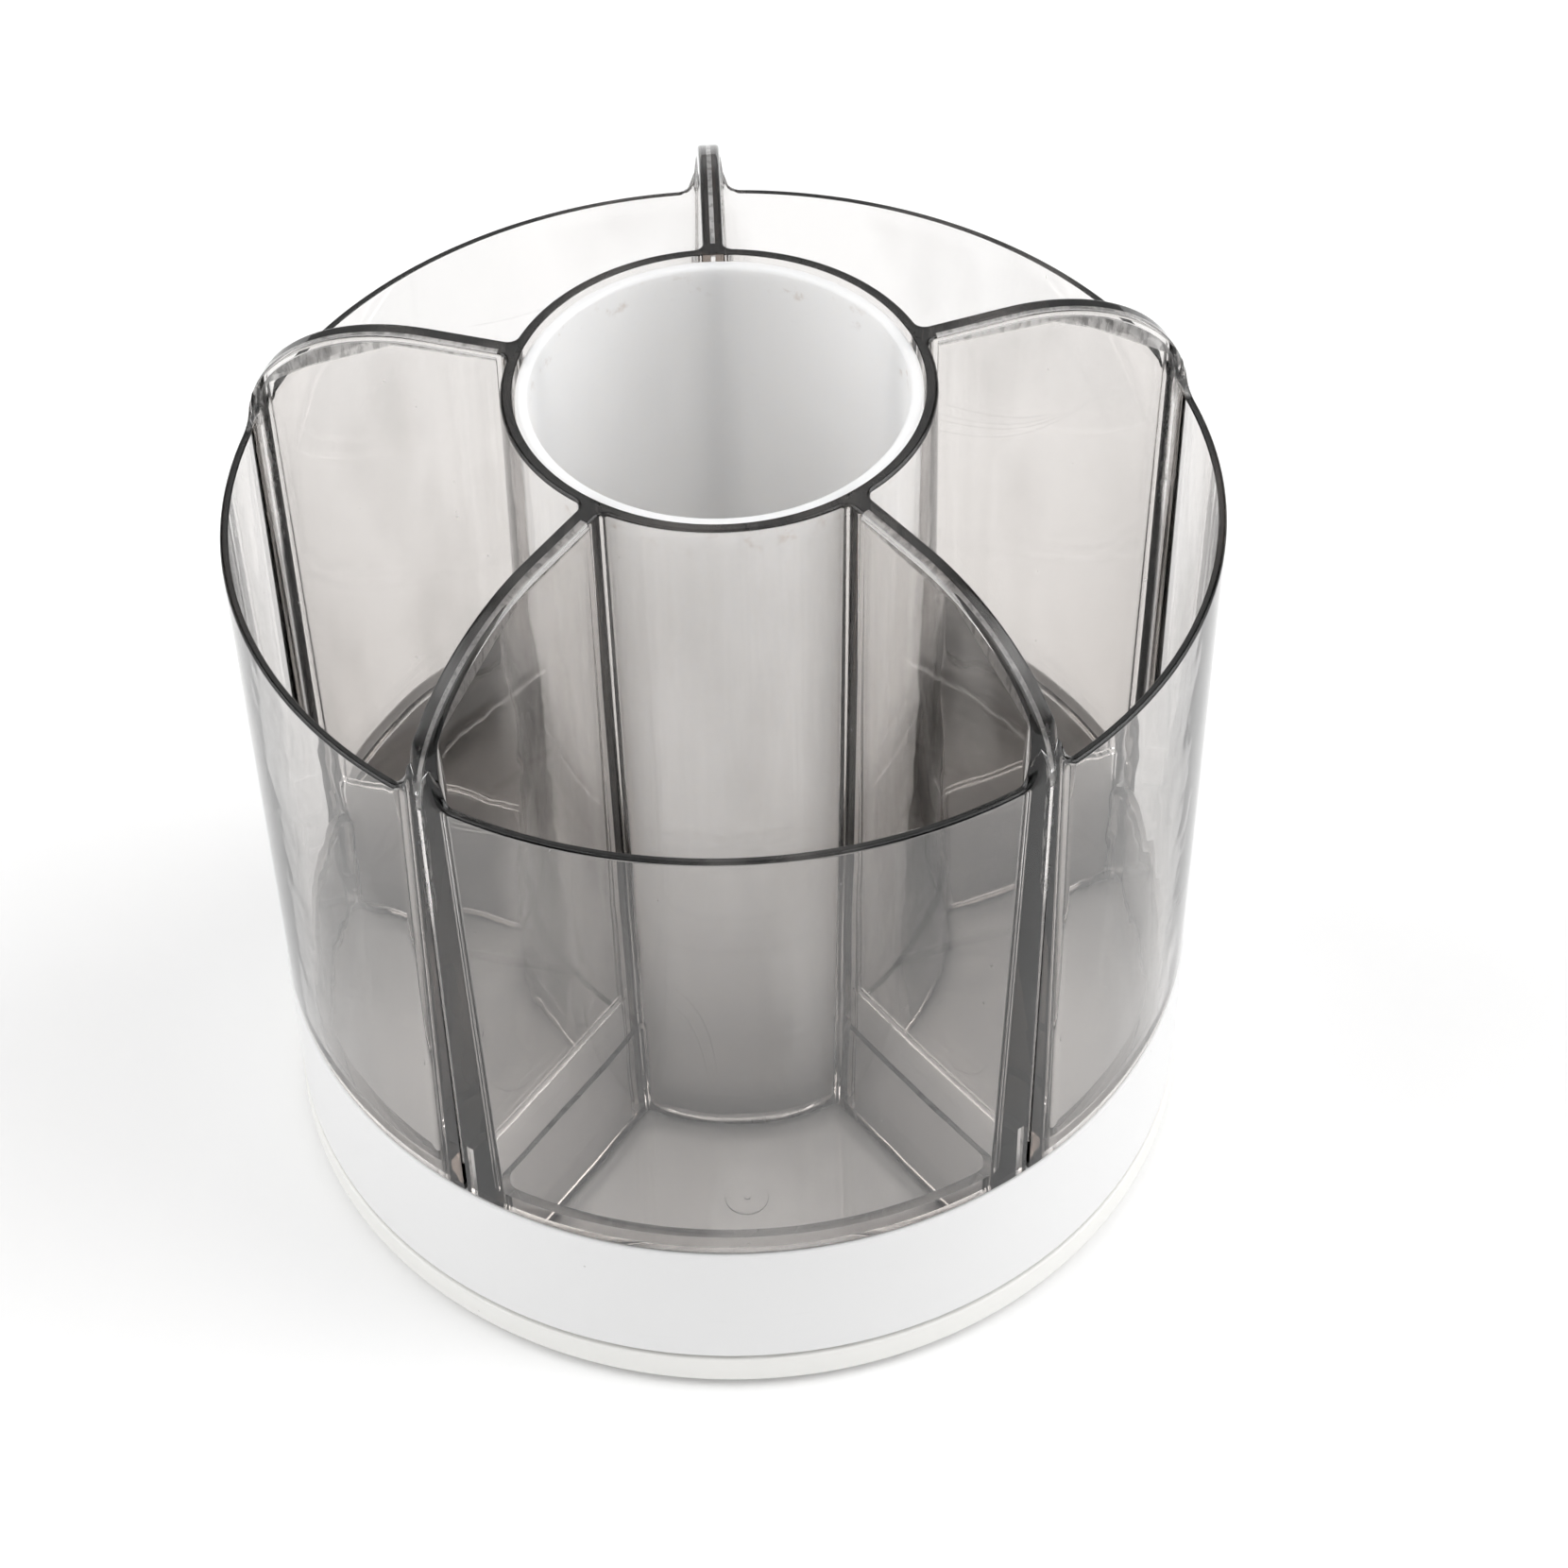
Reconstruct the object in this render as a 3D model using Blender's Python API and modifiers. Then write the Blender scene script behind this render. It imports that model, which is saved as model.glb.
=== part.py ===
"""Rotating pen holder: a clear body with five compartments and a centre cup, on a turning tray and a base.

Metres, +Z up. The origin is the middle of the face that the foot pads stand on, and the turning axis is Z.
"""

import math

import bmesh
import bpy

OBJECT_NAME = "rotating_pen_holder"

# Fits and overruns
RUNNING_GAP = 0.0003
CUT_OVERRUN = 0.004

# Clear holder: outer form
COMPARTMENTS = 5
FIRST_DIVIDER_ANGLE = math.radians(90)
RIM_RADIUS = 0.0640
RIM_HEIGHT = 0.1050
TUBE_HEIGHT = 0.1235
OUTER_WALL = 0.0014
OUTER_DRAFT = math.radians(0.4)
RIDGE_SHOULDER_RADIUS = 0.0388
RIDGE_ENDS_BELOW_RIM = 0.0005
RIM_FILLET = 0.0025

# Clear holder: compartments
COMPARTMENT_FLOOR_HEIGHT = 0.0140
HOLDER_FLOOR = 0.0015
LEDGE_ABOVE_BAND = 0.0027
LEDGE_STEP = 0.0005
SKIRT_WALL = 0.0013
DIVIDER_TOP_WIDTH = 0.0027
DIVIDER_DRAFT = math.radians(1.3)
POCKET_OUTER_DRAFT = math.radians(0.9)
POCKET_TUBE_DRAFT = math.radians(0.6)
OUTER_CORNER_RADIUS = 0.0022
TUBE_CORNER_RADIUS = 0.0014
FLOOR_FILLET = 0.0022

# Clear holder: tube and divider slots
TUBE_RADIUS = 0.0272
TUBE_WALL = 0.0015
SLOT_WIDTH = 0.0006
SLOT_TOP_SKIN = 0.0015
SLOT_FROM_TUBE = 0.0018
FIN_SLOT_WIDTH = 0.0016

# Tray
BAND_INSIDE_RIM = 0.0003
BAND_TOP = 0.0293
BAND_BOTTOM = 0.0066
BAND_WALL = 0.0020
BAND_EDGE_ROUND = 0.0005
TRAY_UNDERSIDE = 0.0093
TRAY_FLOOR_TOP = 0.0122
FIN_HEIGHT_ABOVE_BAND = 0.0077
FIN_END_FROM_RIM = 0.0045

# Base plate
BASE_INSIDE_RIM = 0.0001
BASE_TOP = 0.0061
BASE_UNDERSIDE = 0.0008
BASE_EDGE_ROUND = 0.0015
BOSS_RADIUS = 0.0040
BOSS_TOP = 0.0125

# Ball bearing
BALL_COUNT = 12
BALL_RADIUS = 0.0015
BALL_CIRCLE_RADIUS = 0.0450
RACE_WIDTH = 0.0080
RACE_RECESS_DEPTH = 0.0012
RACE_STANDS_PROUD = 0.0003
CAGE_WIDTH = 0.0060
CAGE_THICKNESS = 0.0012

# Pivot
BUSH_WALL = 0.0017
BUSH_FLANGE_WIDTH = 0.0025
BUSH_FLANGE_THICKNESS = 0.0010
WASHER_RADIUS = 0.0080
WASHER_THICKNESS = 0.0008
SCREW_RADIUS = 0.0015
SCREW_HEAD_RADIUS = 0.0036
SCREW_HEAD_HEIGHT = 0.0021
SCREW_HEAD_ROUND = 0.0005
SCREW_LENGTH = 0.0116
SCREW_CROSS_LENGTH = 0.0040
SCREW_CROSS_WIDTH = 0.0008
SCREW_CROSS_DEPTH = 0.0010

# Centre cup
CUP_WALL = 0.0016
CUP_BELOW_TUBE_RIM = 0.0006
CUP_DRAFT = math.radians(0.35)
CUP_FLOOR_BOTTOM = 0.0170
CUP_FOOT_WIDTH = 0.0018
CUP_INNER_ROUND = 0.0040
CUP_RIM_ROUND = 0.0004

# Foot pads
PAD_COUNT = 4
PAD_RADIUS = 0.0050
PAD_CIRCLE_RADIUS = 0.0500
PAD_RECESS_DEPTH = 0.0012

# Facets
BODY_STEPS = 90
RING_STEPS = 48
SMALL_STEPS = 24
RIDGE_POINTS = 9
CORNER_POINTS = 3
OUTER_ARC_POINTS = 15
TUBE_ARC_POINTS = 8
FILLET_POINTS = 3
GROOVE_POINTS = 4
BALL_SEGMENTS = 10
BALL_RINGS = 6
SHARP_ANGLE = math.radians(35)
MERGE_DISTANCE = 0.00001

# Values that follow from the sizes above
COMPARTMENT_ANGLE = math.tau / COMPARTMENTS
HOLDER_UNDERSIDE = COMPARTMENT_FLOOR_HEIGHT - HOLDER_FLOOR
SHOULDER_HEIGHT = BAND_TOP + RUNNING_GAP
BAND_RADIUS = RIM_RADIUS - BAND_INSIDE_RIM
BASE_RADIUS = RIM_RADIUS - BASE_INSIDE_RIM
SKIRT_RADIUS = BAND_RADIUS - BAND_WALL - RUNNING_GAP
LEDGE_HEIGHT = BAND_TOP + LEDGE_ABOVE_BAND
BORE_RADIUS = TUBE_RADIUS - TUBE_WALL
BALL_CENTRE_HEIGHT = (BASE_TOP + TRAY_UNDERSIDE) / 2
RACE_INNER_RADIUS = BALL_CIRCLE_RADIUS - RACE_WIDTH / 2
RACE_OUTER_RADIUS = BALL_CIRCLE_RADIUS + RACE_WIDTH / 2
RECESS_INNER_RADIUS = RACE_INNER_RADIUS - RUNNING_GAP
RECESS_OUTER_RADIUS = RACE_OUTER_RADIUS + RUNNING_GAP
BUSH_BORE_RADIUS = BOSS_RADIUS + RUNNING_GAP
BUSH_RADIUS = BUSH_BORE_RADIUS + BUSH_WALL
HUB_HOLE_RADIUS = BUSH_RADIUS + RUNNING_GAP
SCREW_HOLE_RADIUS = SCREW_RADIUS + RUNNING_GAP
WASHER_BOTTOM = BOSS_TOP + RUNNING_GAP
SCREW_HEAD_BOTTOM = WASHER_BOTTOM + WASHER_THICKNESS + RUNNING_GAP
FIN_TOP = BAND_TOP + FIN_HEIGHT_ABOVE_BAND
FIN_OUTER_RADIUS = RIM_RADIUS - FIN_END_FROM_RIM


def clear_scene():
    """Remove every object that the file starts with."""
    for obj in list(bpy.data.objects):
        bpy.data.objects.remove(obj, do_unlink=True)


def new_collection(name):
    """A collection linked to the scene."""
    collection = bpy.data.collections.new(name)
    bpy.context.scene.collection.children.link(collection)
    return collection


def plastic(name, colour, roughness, metallic=0.0, transmission=0.0):
    """A material with one Principled shader."""
    material = bpy.data.materials.new(name)
    material.use_nodes = True
    material.diffuse_color = (*colour, 1.0)
    shader = material.node_tree.nodes["Principled BSDF"]
    shader.inputs["Base Color"].default_value = (*colour, 1.0)
    shader.inputs["Roughness"].default_value = roughness
    shader.inputs["Metallic"].default_value = metallic
    shader.inputs["Transmission Weight"].default_value = transmission
    return material


def add_object(name, mesh, collection, material=None):
    """Link a mesh as a named object, with its material."""
    obj = bpy.data.objects.new(name, mesh)
    collection.objects.link(obj)
    if material:
        mesh.materials.append(material)
    return obj


def finish_mesh(bm, name):
    """Turn a bmesh into a smooth-shaded mesh with sharp edges where faces meet at an angle."""
    bmesh.ops.recalc_face_normals(bm, faces=bm.faces)
    mesh = bpy.data.meshes.new(name)
    bm.to_mesh(mesh)
    bm.free()
    mesh.shade_smooth()
    mesh.set_sharp_from_angle(angle=SHARP_ANGLE)
    return mesh


def turned(name, profile, steps, collection, material=None, closed=False):
    """A body turned round Z from (radius, height) points that run down its outer side."""
    mesh = bpy.data.meshes.new(name)
    points = [(radius, 0.0, height) for radius, height in profile]
    edges = [(i, i + 1) for i in range(len(points) - 1)]
    if closed:
        edges.append((len(points) - 1, 0))
    mesh.from_pydata(points, edges, [])
    obj = add_object(name, mesh, collection, material)
    screw = obj.modifiers.new("turn", "SCREW")
    screw.axis = "Z"
    screw.angle = math.tau
    screw.steps = steps
    screw.render_steps = steps
    screw.use_merge_vertices = True
    screw.merge_threshold = MERGE_DISTANCE
    screw.use_smooth_shade = True
    return obj


def prism(name, outline, bottom, top, collection, material=None):
    """An upright prism from an (x, y) outline that runs counter-clockwise."""
    bm = bmesh.new()
    corners = [bm.verts.new((x, y, bottom)) for x, y in outline]
    face = bm.faces.new(corners)
    raised = bmesh.ops.extrude_face_region(bm, geom=[face])["geom"]
    top_corners = [item for item in raised if isinstance(item, bmesh.types.BMVert)]
    bmesh.ops.translate(bm, verts=top_corners, vec=(0, 0, top - bottom))
    return add_object(name, finish_mesh(bm, name), collection, material)


def upright_plate(name, outline, width, angle, collection):
    """A plate in the half plane at an angle about Z, from a (radius, height) outline."""
    bm = bmesh.new()
    corners = [bm.verts.new((radius, -width / 2, height)) for radius, height in outline]
    face = bm.faces.new(corners)
    moved = bmesh.ops.extrude_face_region(bm, geom=[face])["geom"]
    far_corners = [item for item in moved if isinstance(item, bmesh.types.BMVert)]
    bmesh.ops.translate(bm, verts=far_corners, vec=(0, width, 0))
    obj = add_object(name, finish_mesh(bm, name), collection)
    obj.rotation_euler.z = angle
    return obj


def cylinder(name, radius, bottom, top, steps, centre, collection, material=None):
    """An upright cylinder over a point."""
    bm = bmesh.new()
    bmesh.ops.create_cone(
        bm, cap_ends=True, segments=steps, radius1=radius, radius2=radius, depth=top - bottom
    )
    obj = add_object(name, finish_mesh(bm, name), collection, material)
    obj.location = (centre[0], centre[1], (bottom + top) / 2)
    return obj


def combine(obj, other, operation):
    """Cut or join another object with an exact Boolean."""
    boolean = obj.modifiers.new(operation.lower() + "_" + other.name, "BOOLEAN")
    boolean.operation = operation
    boolean.solver = "EXACT"
    boolean.object = other
    other.hide_render = True
    other.display_type = "WIRE"


def on_circle(radius, angle):
    """The point of a circle about Z at an angle."""
    return radius * math.cos(angle), radius * math.sin(angle)


def arc(centre, radius, start, end, points):
    """Points along an arc, both ends included."""
    angles = [start + (end - start) * i / (points - 1) for i in range(points)]
    return [(centre[0] + radius * math.cos(a), centre[1] + radius * math.sin(a)) for a in angles]


def divider_half_width(height):
    """Half the width of a divider, which grows downwards so that the compartments release."""
    return DIVIDER_TOP_WIDTH / 2 + (TUBE_HEIGHT - height) * math.tan(DIVIDER_DRAFT)


def ridge_height(radius):
    """Height of a divider's top edge: level from the tube, then a quarter ellipse down to the rim."""
    reach = RIM_RADIUS - RIDGE_SHOULDER_RADIUS
    foot = RIM_HEIGHT - RIDGE_ENDS_BELOW_RIM
    share = min(max((radius - RIDGE_SHOULDER_RADIUS) / reach, 0.0), 1.0)
    return foot + (TUBE_HEIGHT - foot) * math.sqrt(1.0 - share**2)


def ridge_profile(skin=0.0):
    """Points along a divider's top edge from the rim inwards, lowered by a skin."""
    reach = RIM_RADIUS - RIDGE_SHOULDER_RADIUS
    turns = [math.pi / 2 * i / (RIDGE_POINTS - 1) for i in range(RIDGE_POINTS)]
    radii = [RIDGE_SHOULDER_RADIUS + reach * math.cos(turn) for turn in turns]
    return [(radius, ridge_height(radius) - skin) for radius in radii]


def pocket_outer_radius(height, in_skirt):
    """Inner radius of the outer wall, above the ledge or inside the skirt that the band surrounds."""
    if in_skirt:
        return SKIRT_RADIUS - SKIRT_WALL - (LEDGE_HEIGHT - height) * math.tan(OUTER_DRAFT)
    return RIM_RADIUS - OUTER_WALL - (RIM_HEIGHT - height) * math.tan(POCKET_OUTER_DRAFT)


def compartment_outline(height, inset, in_skirt):
    """Outline of a compartment about the X axis at a height, drawn in from its walls by an inset.

    The walls lean inwards on the way down, and below the ledge they step inwards. The corners are arcs
    between each divider face and the two round walls.
    """
    half_angle = COMPARTMENT_ANGLE / 2
    step = LEDGE_STEP if in_skirt else 0.0
    side = divider_half_width(height) + step + inset
    outer = pocket_outer_radius(height, in_skirt) - inset
    inner = TUBE_RADIUS + (TUBE_HEIGHT - height) * math.tan(POCKET_TUBE_DRAFT) + step + inset
    corner = OUTER_CORNER_RADIUS
    tube_corner = TUBE_CORNER_RADIUS

    outer_centre_radius = outer - corner
    outer_centre_angle = math.asin((side + corner) / outer_centre_radius)
    inner_centre_radius = inner + tube_corner
    inner_centre_angle = math.asin((side + tube_corner) / inner_centre_radius)

    # The outline starts on the lower divider, whose plane lies half a compartment below the X axis
    low = -half_angle
    outer_at = low + outer_centre_angle
    inner_at = low + inner_centre_angle
    face_turn = low - math.pi / 2
    points = []
    points += arc(on_circle(outer_centre_radius, outer_at), corner, face_turn, outer_at, CORNER_POINTS + 1)
    points += arc((0.0, 0.0), outer, outer_at, -outer_at, OUTER_ARC_POINTS)[1:-1]
    points += arc(on_circle(outer_centre_radius, -outer_at), corner, -outer_at, -face_turn, CORNER_POINTS + 1)
    points += arc(
        on_circle(inner_centre_radius, -inner_at), tube_corner, -face_turn, math.pi - inner_at, CORNER_POINTS + 1
    )
    points += arc((0.0, 0.0), inner, -inner_at, inner_at, TUBE_ARC_POINTS)[1:-1]
    points += arc(
        on_circle(inner_centre_radius, inner_at), tube_corner, inner_at - math.pi, face_turn, CORNER_POINTS + 1
    )
    return points


def compartment_sections():
    """Heights and outlines of a compartment from its floor to above the tube, bottom first."""
    turns = [math.pi / 2 * i / (FILLET_POINTS - 1) for i in range(FILLET_POINTS)]
    sections = []
    for turn in turns:
        height = COMPARTMENT_FLOOR_HEIGHT + FLOOR_FILLET * (1.0 - math.cos(turn))
        inset = FLOOR_FILLET * (1.0 - math.sin(turn))
        sections.append((height, compartment_outline(height, inset, in_skirt=True)))
    for height, in_skirt in (
        (LEDGE_HEIGHT - LEDGE_STEP, True),
        (LEDGE_HEIGHT, False),
        (TUBE_HEIGHT + CUT_OVERRUN, False),
    ):
        sections.append((height, compartment_outline(height, 0.0, in_skirt)))
    return sections


def loft(name, sections, collection):
    """A closed body through (height, outline) sections that have as many points each, bottom first."""
    bm = bmesh.new()
    rings = [[bm.verts.new((x, y, height)) for x, y in outline] for height, outline in sections]
    count = len(rings[0])
    for lower, upper in zip(rings, rings[1:]):
        for i in range(count):
            j = (i + 1) % count
            bm.faces.new((lower[i], lower[j], upper[j], upper[i]))
    bm.faces.new(list(reversed(rings[0])))
    bm.faces.new(rings[-1])
    return add_object(name, finish_mesh(bm, name), collection)


def compartment_cutter(name, angle, collection):
    """The space of one compartment, from its floor to above the tube."""
    obj = loft(name, compartment_sections(), collection)
    obj.rotation_euler.z = angle
    return obj


def rim_cutter(name, angle, collection):
    """What is cut away above the outer rim between two dividers, with a fillet up to each divider."""
    half_angle = COMPARTMENT_ANGLE / 2
    offset = divider_half_width(RIM_HEIGHT) + RUNNING_GAP
    apex = offset / math.sin(half_angle)
    inner = (TUBE_RADIUS + RIM_RADIUS) / 2
    outer = RIM_RADIUS + CUT_OVERRUN
    half_inner = (inner - apex) * math.tan(half_angle)
    half_outer = (outer - apex) * math.tan(half_angle)
    outline = [(inner, -half_inner), (outer, -half_outer), (outer, half_outer), (inner, half_inner)]
    bm = bmesh.new()
    corners = [bm.verts.new((x, y, RIM_HEIGHT)) for x, y in outline]
    face = bm.faces.new(corners)
    raised = bmesh.ops.extrude_face_region(bm, geom=[face])["geom"]
    top_corners = [item for item in raised if isinstance(item, bmesh.types.BMVert)]
    bmesh.ops.translate(bm, verts=top_corners, vec=(0, 0, TUBE_HEIGHT + CUT_OVERRUN - RIM_HEIGHT))
    radial = [bm.edges.get((corners[0], corners[1])), bm.edges.get((corners[2], corners[3]))]
    bmesh.ops.bevel(
        bm, geom=radial, offset=RIM_FILLET, offset_type="OFFSET", segments=FILLET_POINTS + 1,
        profile=0.5, affect="EDGES", material=-1,
    )
    obj = add_object(name, finish_mesh(bm, name), collection)
    obj.rotation_euler.z = angle
    return obj


def slot_outline():
    """The narrow slot of a divider in (radius, height): open below and outside, closed at the top."""
    slot_inner = TUBE_RADIUS + SLOT_FROM_TUBE
    top = ridge_profile(SLOT_TOP_SKIN)
    outside = RIM_RADIUS + CUT_OVERRUN
    below = HOLDER_UNDERSIDE - CUT_OVERRUN
    return [
        (slot_inner, below),
        (outside, below),
        (outside, top[0][1]),
        *top,
        (slot_inner, TUBE_HEIGHT - SLOT_TOP_SKIN),
    ]


def fin_inner_radius():
    """Where a fin starts, a little outside the foot of the tube."""
    tube_foot = TUBE_RADIUS + (TUBE_HEIGHT - HOLDER_UNDERSIDE) * math.tan(POCKET_TUBE_DRAFT)
    return tube_foot + SLOT_FROM_TUBE


def fin_outline(clearance):
    """A fin of the tray in (radius, height), grown by a clearance on its ends and top."""
    foot = TRAY_FLOOR_TOP - RUNNING_GAP - clearance
    return [
        (fin_inner_radius() - clearance, foot),
        (FIN_OUTER_RADIUS + clearance, foot),
        (FIN_OUTER_RADIUS + clearance, FIN_TOP + clearance),
        (fin_inner_radius() - clearance, FIN_TOP + clearance),
    ]


def divider_angles():
    """Angle of each divider about Z."""
    return [FIRST_DIVIDER_ANGLE + COMPARTMENT_ANGLE * i for i in range(COMPARTMENTS)]


def build_holder(parts, cutters):
    """The clear moulding: a turned body with a domed top, cut by its compartments, slots and bore."""
    smoke = plastic("smoky_clear_plastic", (0.62, 0.60, 0.59), 0.06, transmission=0.9)
    shoulder_radius = RIM_RADIUS - (RIM_HEIGHT - SHOULDER_HEIGHT) * math.tan(OUTER_DRAFT)
    dome = list(reversed(ridge_profile()))
    profile = [
        (0.0, TUBE_HEIGHT),
        *dome,
        (shoulder_radius, SHOULDER_HEIGHT),
        (SKIRT_RADIUS, SHOULDER_HEIGHT),
        (SKIRT_RADIUS, HOLDER_UNDERSIDE),
        (0.0, HOLDER_UNDERSIDE),
    ]
    holder = turned("clear_holder", profile, BODY_STEPS, parts, smoke)
    bore_bottom = HOLDER_UNDERSIDE - CUT_OVERRUN
    bore_top = TUBE_HEIGHT + CUT_OVERRUN
    bore = cylinder("bore_cutter", BORE_RADIUS, bore_bottom, bore_top, RING_STEPS, (0, 0), cutters)
    combine(holder, bore, "DIFFERENCE")
    for i, angle in enumerate(divider_angles(), start=1):
        middle = angle + COMPARTMENT_ANGLE / 2
        combine(holder, compartment_cutter(f"compartment_cutter_{i}", middle, cutters), "DIFFERENCE")
        combine(holder, rim_cutter(f"rim_cutter_{i}", middle, cutters), "DIFFERENCE")
        slot = upright_plate(f"slot_cutter_{i}", slot_outline(), SLOT_WIDTH, angle, cutters)
        combine(holder, slot, "DIFFERENCE")
        fin_room = upright_plate(
            f"fin_slot_cutter_{i}", fin_outline(RUNNING_GAP * 2), FIN_SLOT_WIDTH, angle, cutters
        )
        combine(holder, fin_room, "DIFFERENCE")
    return holder


def build_cup(parts):
    """The white cup inside the tube, standing on a foot ring."""
    white = plastic("white_cup_plastic", (0.92, 0.92, 0.91), 0.35)
    rim = TUBE_HEIGHT - CUP_BELOW_TUBE_RIM
    radius = BORE_RADIUS - RUNNING_GAP
    foot_bottom = TRAY_FLOOR_TOP + RUNNING_GAP
    foot_radius = radius - (rim - foot_bottom) * math.tan(CUP_DRAFT)
    floor_top = CUP_FLOOR_BOTTOM + CUP_WALL
    inner_rim = radius - CUP_WALL
    inner_foot = foot_radius - CUP_WALL
    corner = arc(
        (inner_foot - CUP_INNER_ROUND, floor_top + CUP_INNER_ROUND), CUP_INNER_ROUND, -math.pi / 2, 0.0,
        FILLET_POINTS + 1,
    )
    profile = [
        (0.0, floor_top),
        *corner,
        (inner_rim, rim - CUP_RIM_ROUND),
        (inner_rim + CUP_RIM_ROUND, rim),
        (radius - CUP_RIM_ROUND, rim),
        (radius, rim - CUP_RIM_ROUND),
        (foot_radius, foot_bottom),
        (foot_radius - CUP_FOOT_WIDTH, foot_bottom),
        (foot_radius - CUP_FOOT_WIDTH, CUP_FLOOR_BOTTOM),
        (0.0, CUP_FLOOR_BOTTOM),
    ]
    return turned("centre_cup", profile, RING_STEPS, parts, white)


def build_tray(parts, cutters):
    """The white turning tray: a floor with a band round it and a fin for each divider slot."""
    white = plastic("white_tray_plastic", (0.88, 0.88, 0.88), 0.4)
    inside = BAND_RADIUS - BAND_WALL
    recess_top = TRAY_UNDERSIDE + RACE_RECESS_DEPTH
    profile = [
        (BAND_RADIUS - BAND_EDGE_ROUND, BAND_TOP),
        (BAND_RADIUS, BAND_TOP - BAND_EDGE_ROUND),
        (BAND_RADIUS, BAND_BOTTOM + BAND_EDGE_ROUND),
        (BAND_RADIUS - BAND_EDGE_ROUND, BAND_BOTTOM),
        (inside, BAND_BOTTOM),
        (inside, TRAY_UNDERSIDE),
        (RECESS_OUTER_RADIUS, TRAY_UNDERSIDE),
        (RECESS_OUTER_RADIUS, recess_top),
        (RECESS_INNER_RADIUS, recess_top),
        (RECESS_INNER_RADIUS, TRAY_UNDERSIDE),
        (HUB_HOLE_RADIUS, TRAY_UNDERSIDE),
        (HUB_HOLE_RADIUS, TRAY_FLOOR_TOP),
        (inside, TRAY_FLOOR_TOP),
        (inside, BAND_TOP),
    ]
    tray = turned("tray", profile, BODY_STEPS, parts, white, closed=True)
    fin_width = FIN_SLOT_WIDTH - RUNNING_GAP * 2
    for i, angle in enumerate(divider_angles(), start=1):
        fin = upright_plate(f"fin_{i}", fin_outline(0.0), fin_width, angle, cutters)
        combine(tray, fin, "UNION")
    return tray


def pad_centres():
    """Centre of each foot pad, seen from above."""
    first = math.pi / PAD_COUNT
    return [on_circle(PAD_CIRCLE_RADIUS, first + math.tau * i / PAD_COUNT) for i in range(PAD_COUNT)]


def build_base(parts, cutters):
    """The white base plate: a race recess and a pivot boss above, and pad recesses below."""
    white = plastic("white_base_plastic", (0.86, 0.86, 0.84), 0.45)
    recess_bottom = BASE_TOP - RACE_RECESS_DEPTH
    hole_bottom = SCREW_HEAD_BOTTOM - SCREW_LENGTH - RUNNING_GAP
    round_centre = (BASE_RADIUS - BASE_EDGE_ROUND, BASE_UNDERSIDE + BASE_EDGE_ROUND)
    edge = arc(round_centre, BASE_EDGE_ROUND, 0.0, -math.pi / 2, FILLET_POINTS + 2)
    profile = [
        (0.0, hole_bottom),
        (SCREW_HOLE_RADIUS, hole_bottom),
        (SCREW_HOLE_RADIUS, BOSS_TOP),
        (BOSS_RADIUS, BOSS_TOP),
        (BOSS_RADIUS, BASE_TOP),
        (RECESS_INNER_RADIUS, BASE_TOP),
        (RECESS_INNER_RADIUS, recess_bottom),
        (RECESS_OUTER_RADIUS, recess_bottom),
        (RECESS_OUTER_RADIUS, BASE_TOP),
        (BASE_RADIUS, BASE_TOP),
        *edge,
        (0.0, BASE_UNDERSIDE),
    ]
    base = turned("base_plate", profile, BODY_STEPS, parts, white)
    for i, centre in enumerate(pad_centres(), start=1):
        recess = cylinder(
            f"pad_recess_cutter_{i}", PAD_RADIUS + RUNNING_GAP, BASE_UNDERSIDE - CUT_OVERRUN,
            BASE_UNDERSIDE + PAD_RECESS_DEPTH, SMALL_STEPS, centre, cutters,
        )
        combine(base, recess, "DIFFERENCE")
    return base


def build_pads(parts):
    """The soft pads that the holder stands on."""
    rubber = plastic("grey_pad_rubber", (0.25, 0.25, 0.25), 0.85)
    top = BASE_UNDERSIDE + PAD_RECESS_DEPTH - RUNNING_GAP
    for i, centre in enumerate(pad_centres(), start=1):
        cylinder(f"foot_pad_{i}", PAD_RADIUS, 0.0, top, SMALL_STEPS, centre, parts, rubber)


def race_profile(flat, groove_side):
    """Section of a race ring: a flat side and, towards the balls, a face with a round groove."""
    groove_radius = BALL_RADIUS + RUNNING_GAP
    depth = abs(BALL_CENTRE_HEIGHT - groove_side)
    spread = math.acos(depth / groove_radius)
    start = math.pi / 2 + spread
    end = math.pi / 2 - spread
    groove = arc((BALL_CIRCLE_RADIUS, BALL_CENTRE_HEIGHT), groove_radius, start, end, GROOVE_POINTS)
    if groove_side < BALL_CENTRE_HEIGHT:
        groove = [(radius, 2 * BALL_CENTRE_HEIGHT - height) for radius, height in groove]
        return [
            (RACE_INNER_RADIUS, groove_side), *groove, (RACE_OUTER_RADIUS, groove_side),
            (RACE_OUTER_RADIUS, flat), (RACE_INNER_RADIUS, flat),
        ]
    return [
        (RACE_INNER_RADIUS, flat), (RACE_OUTER_RADIUS, flat),
        (RACE_OUTER_RADIUS, groove_side), *reversed(groove), (RACE_INNER_RADIUS, groove_side),
    ]


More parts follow.
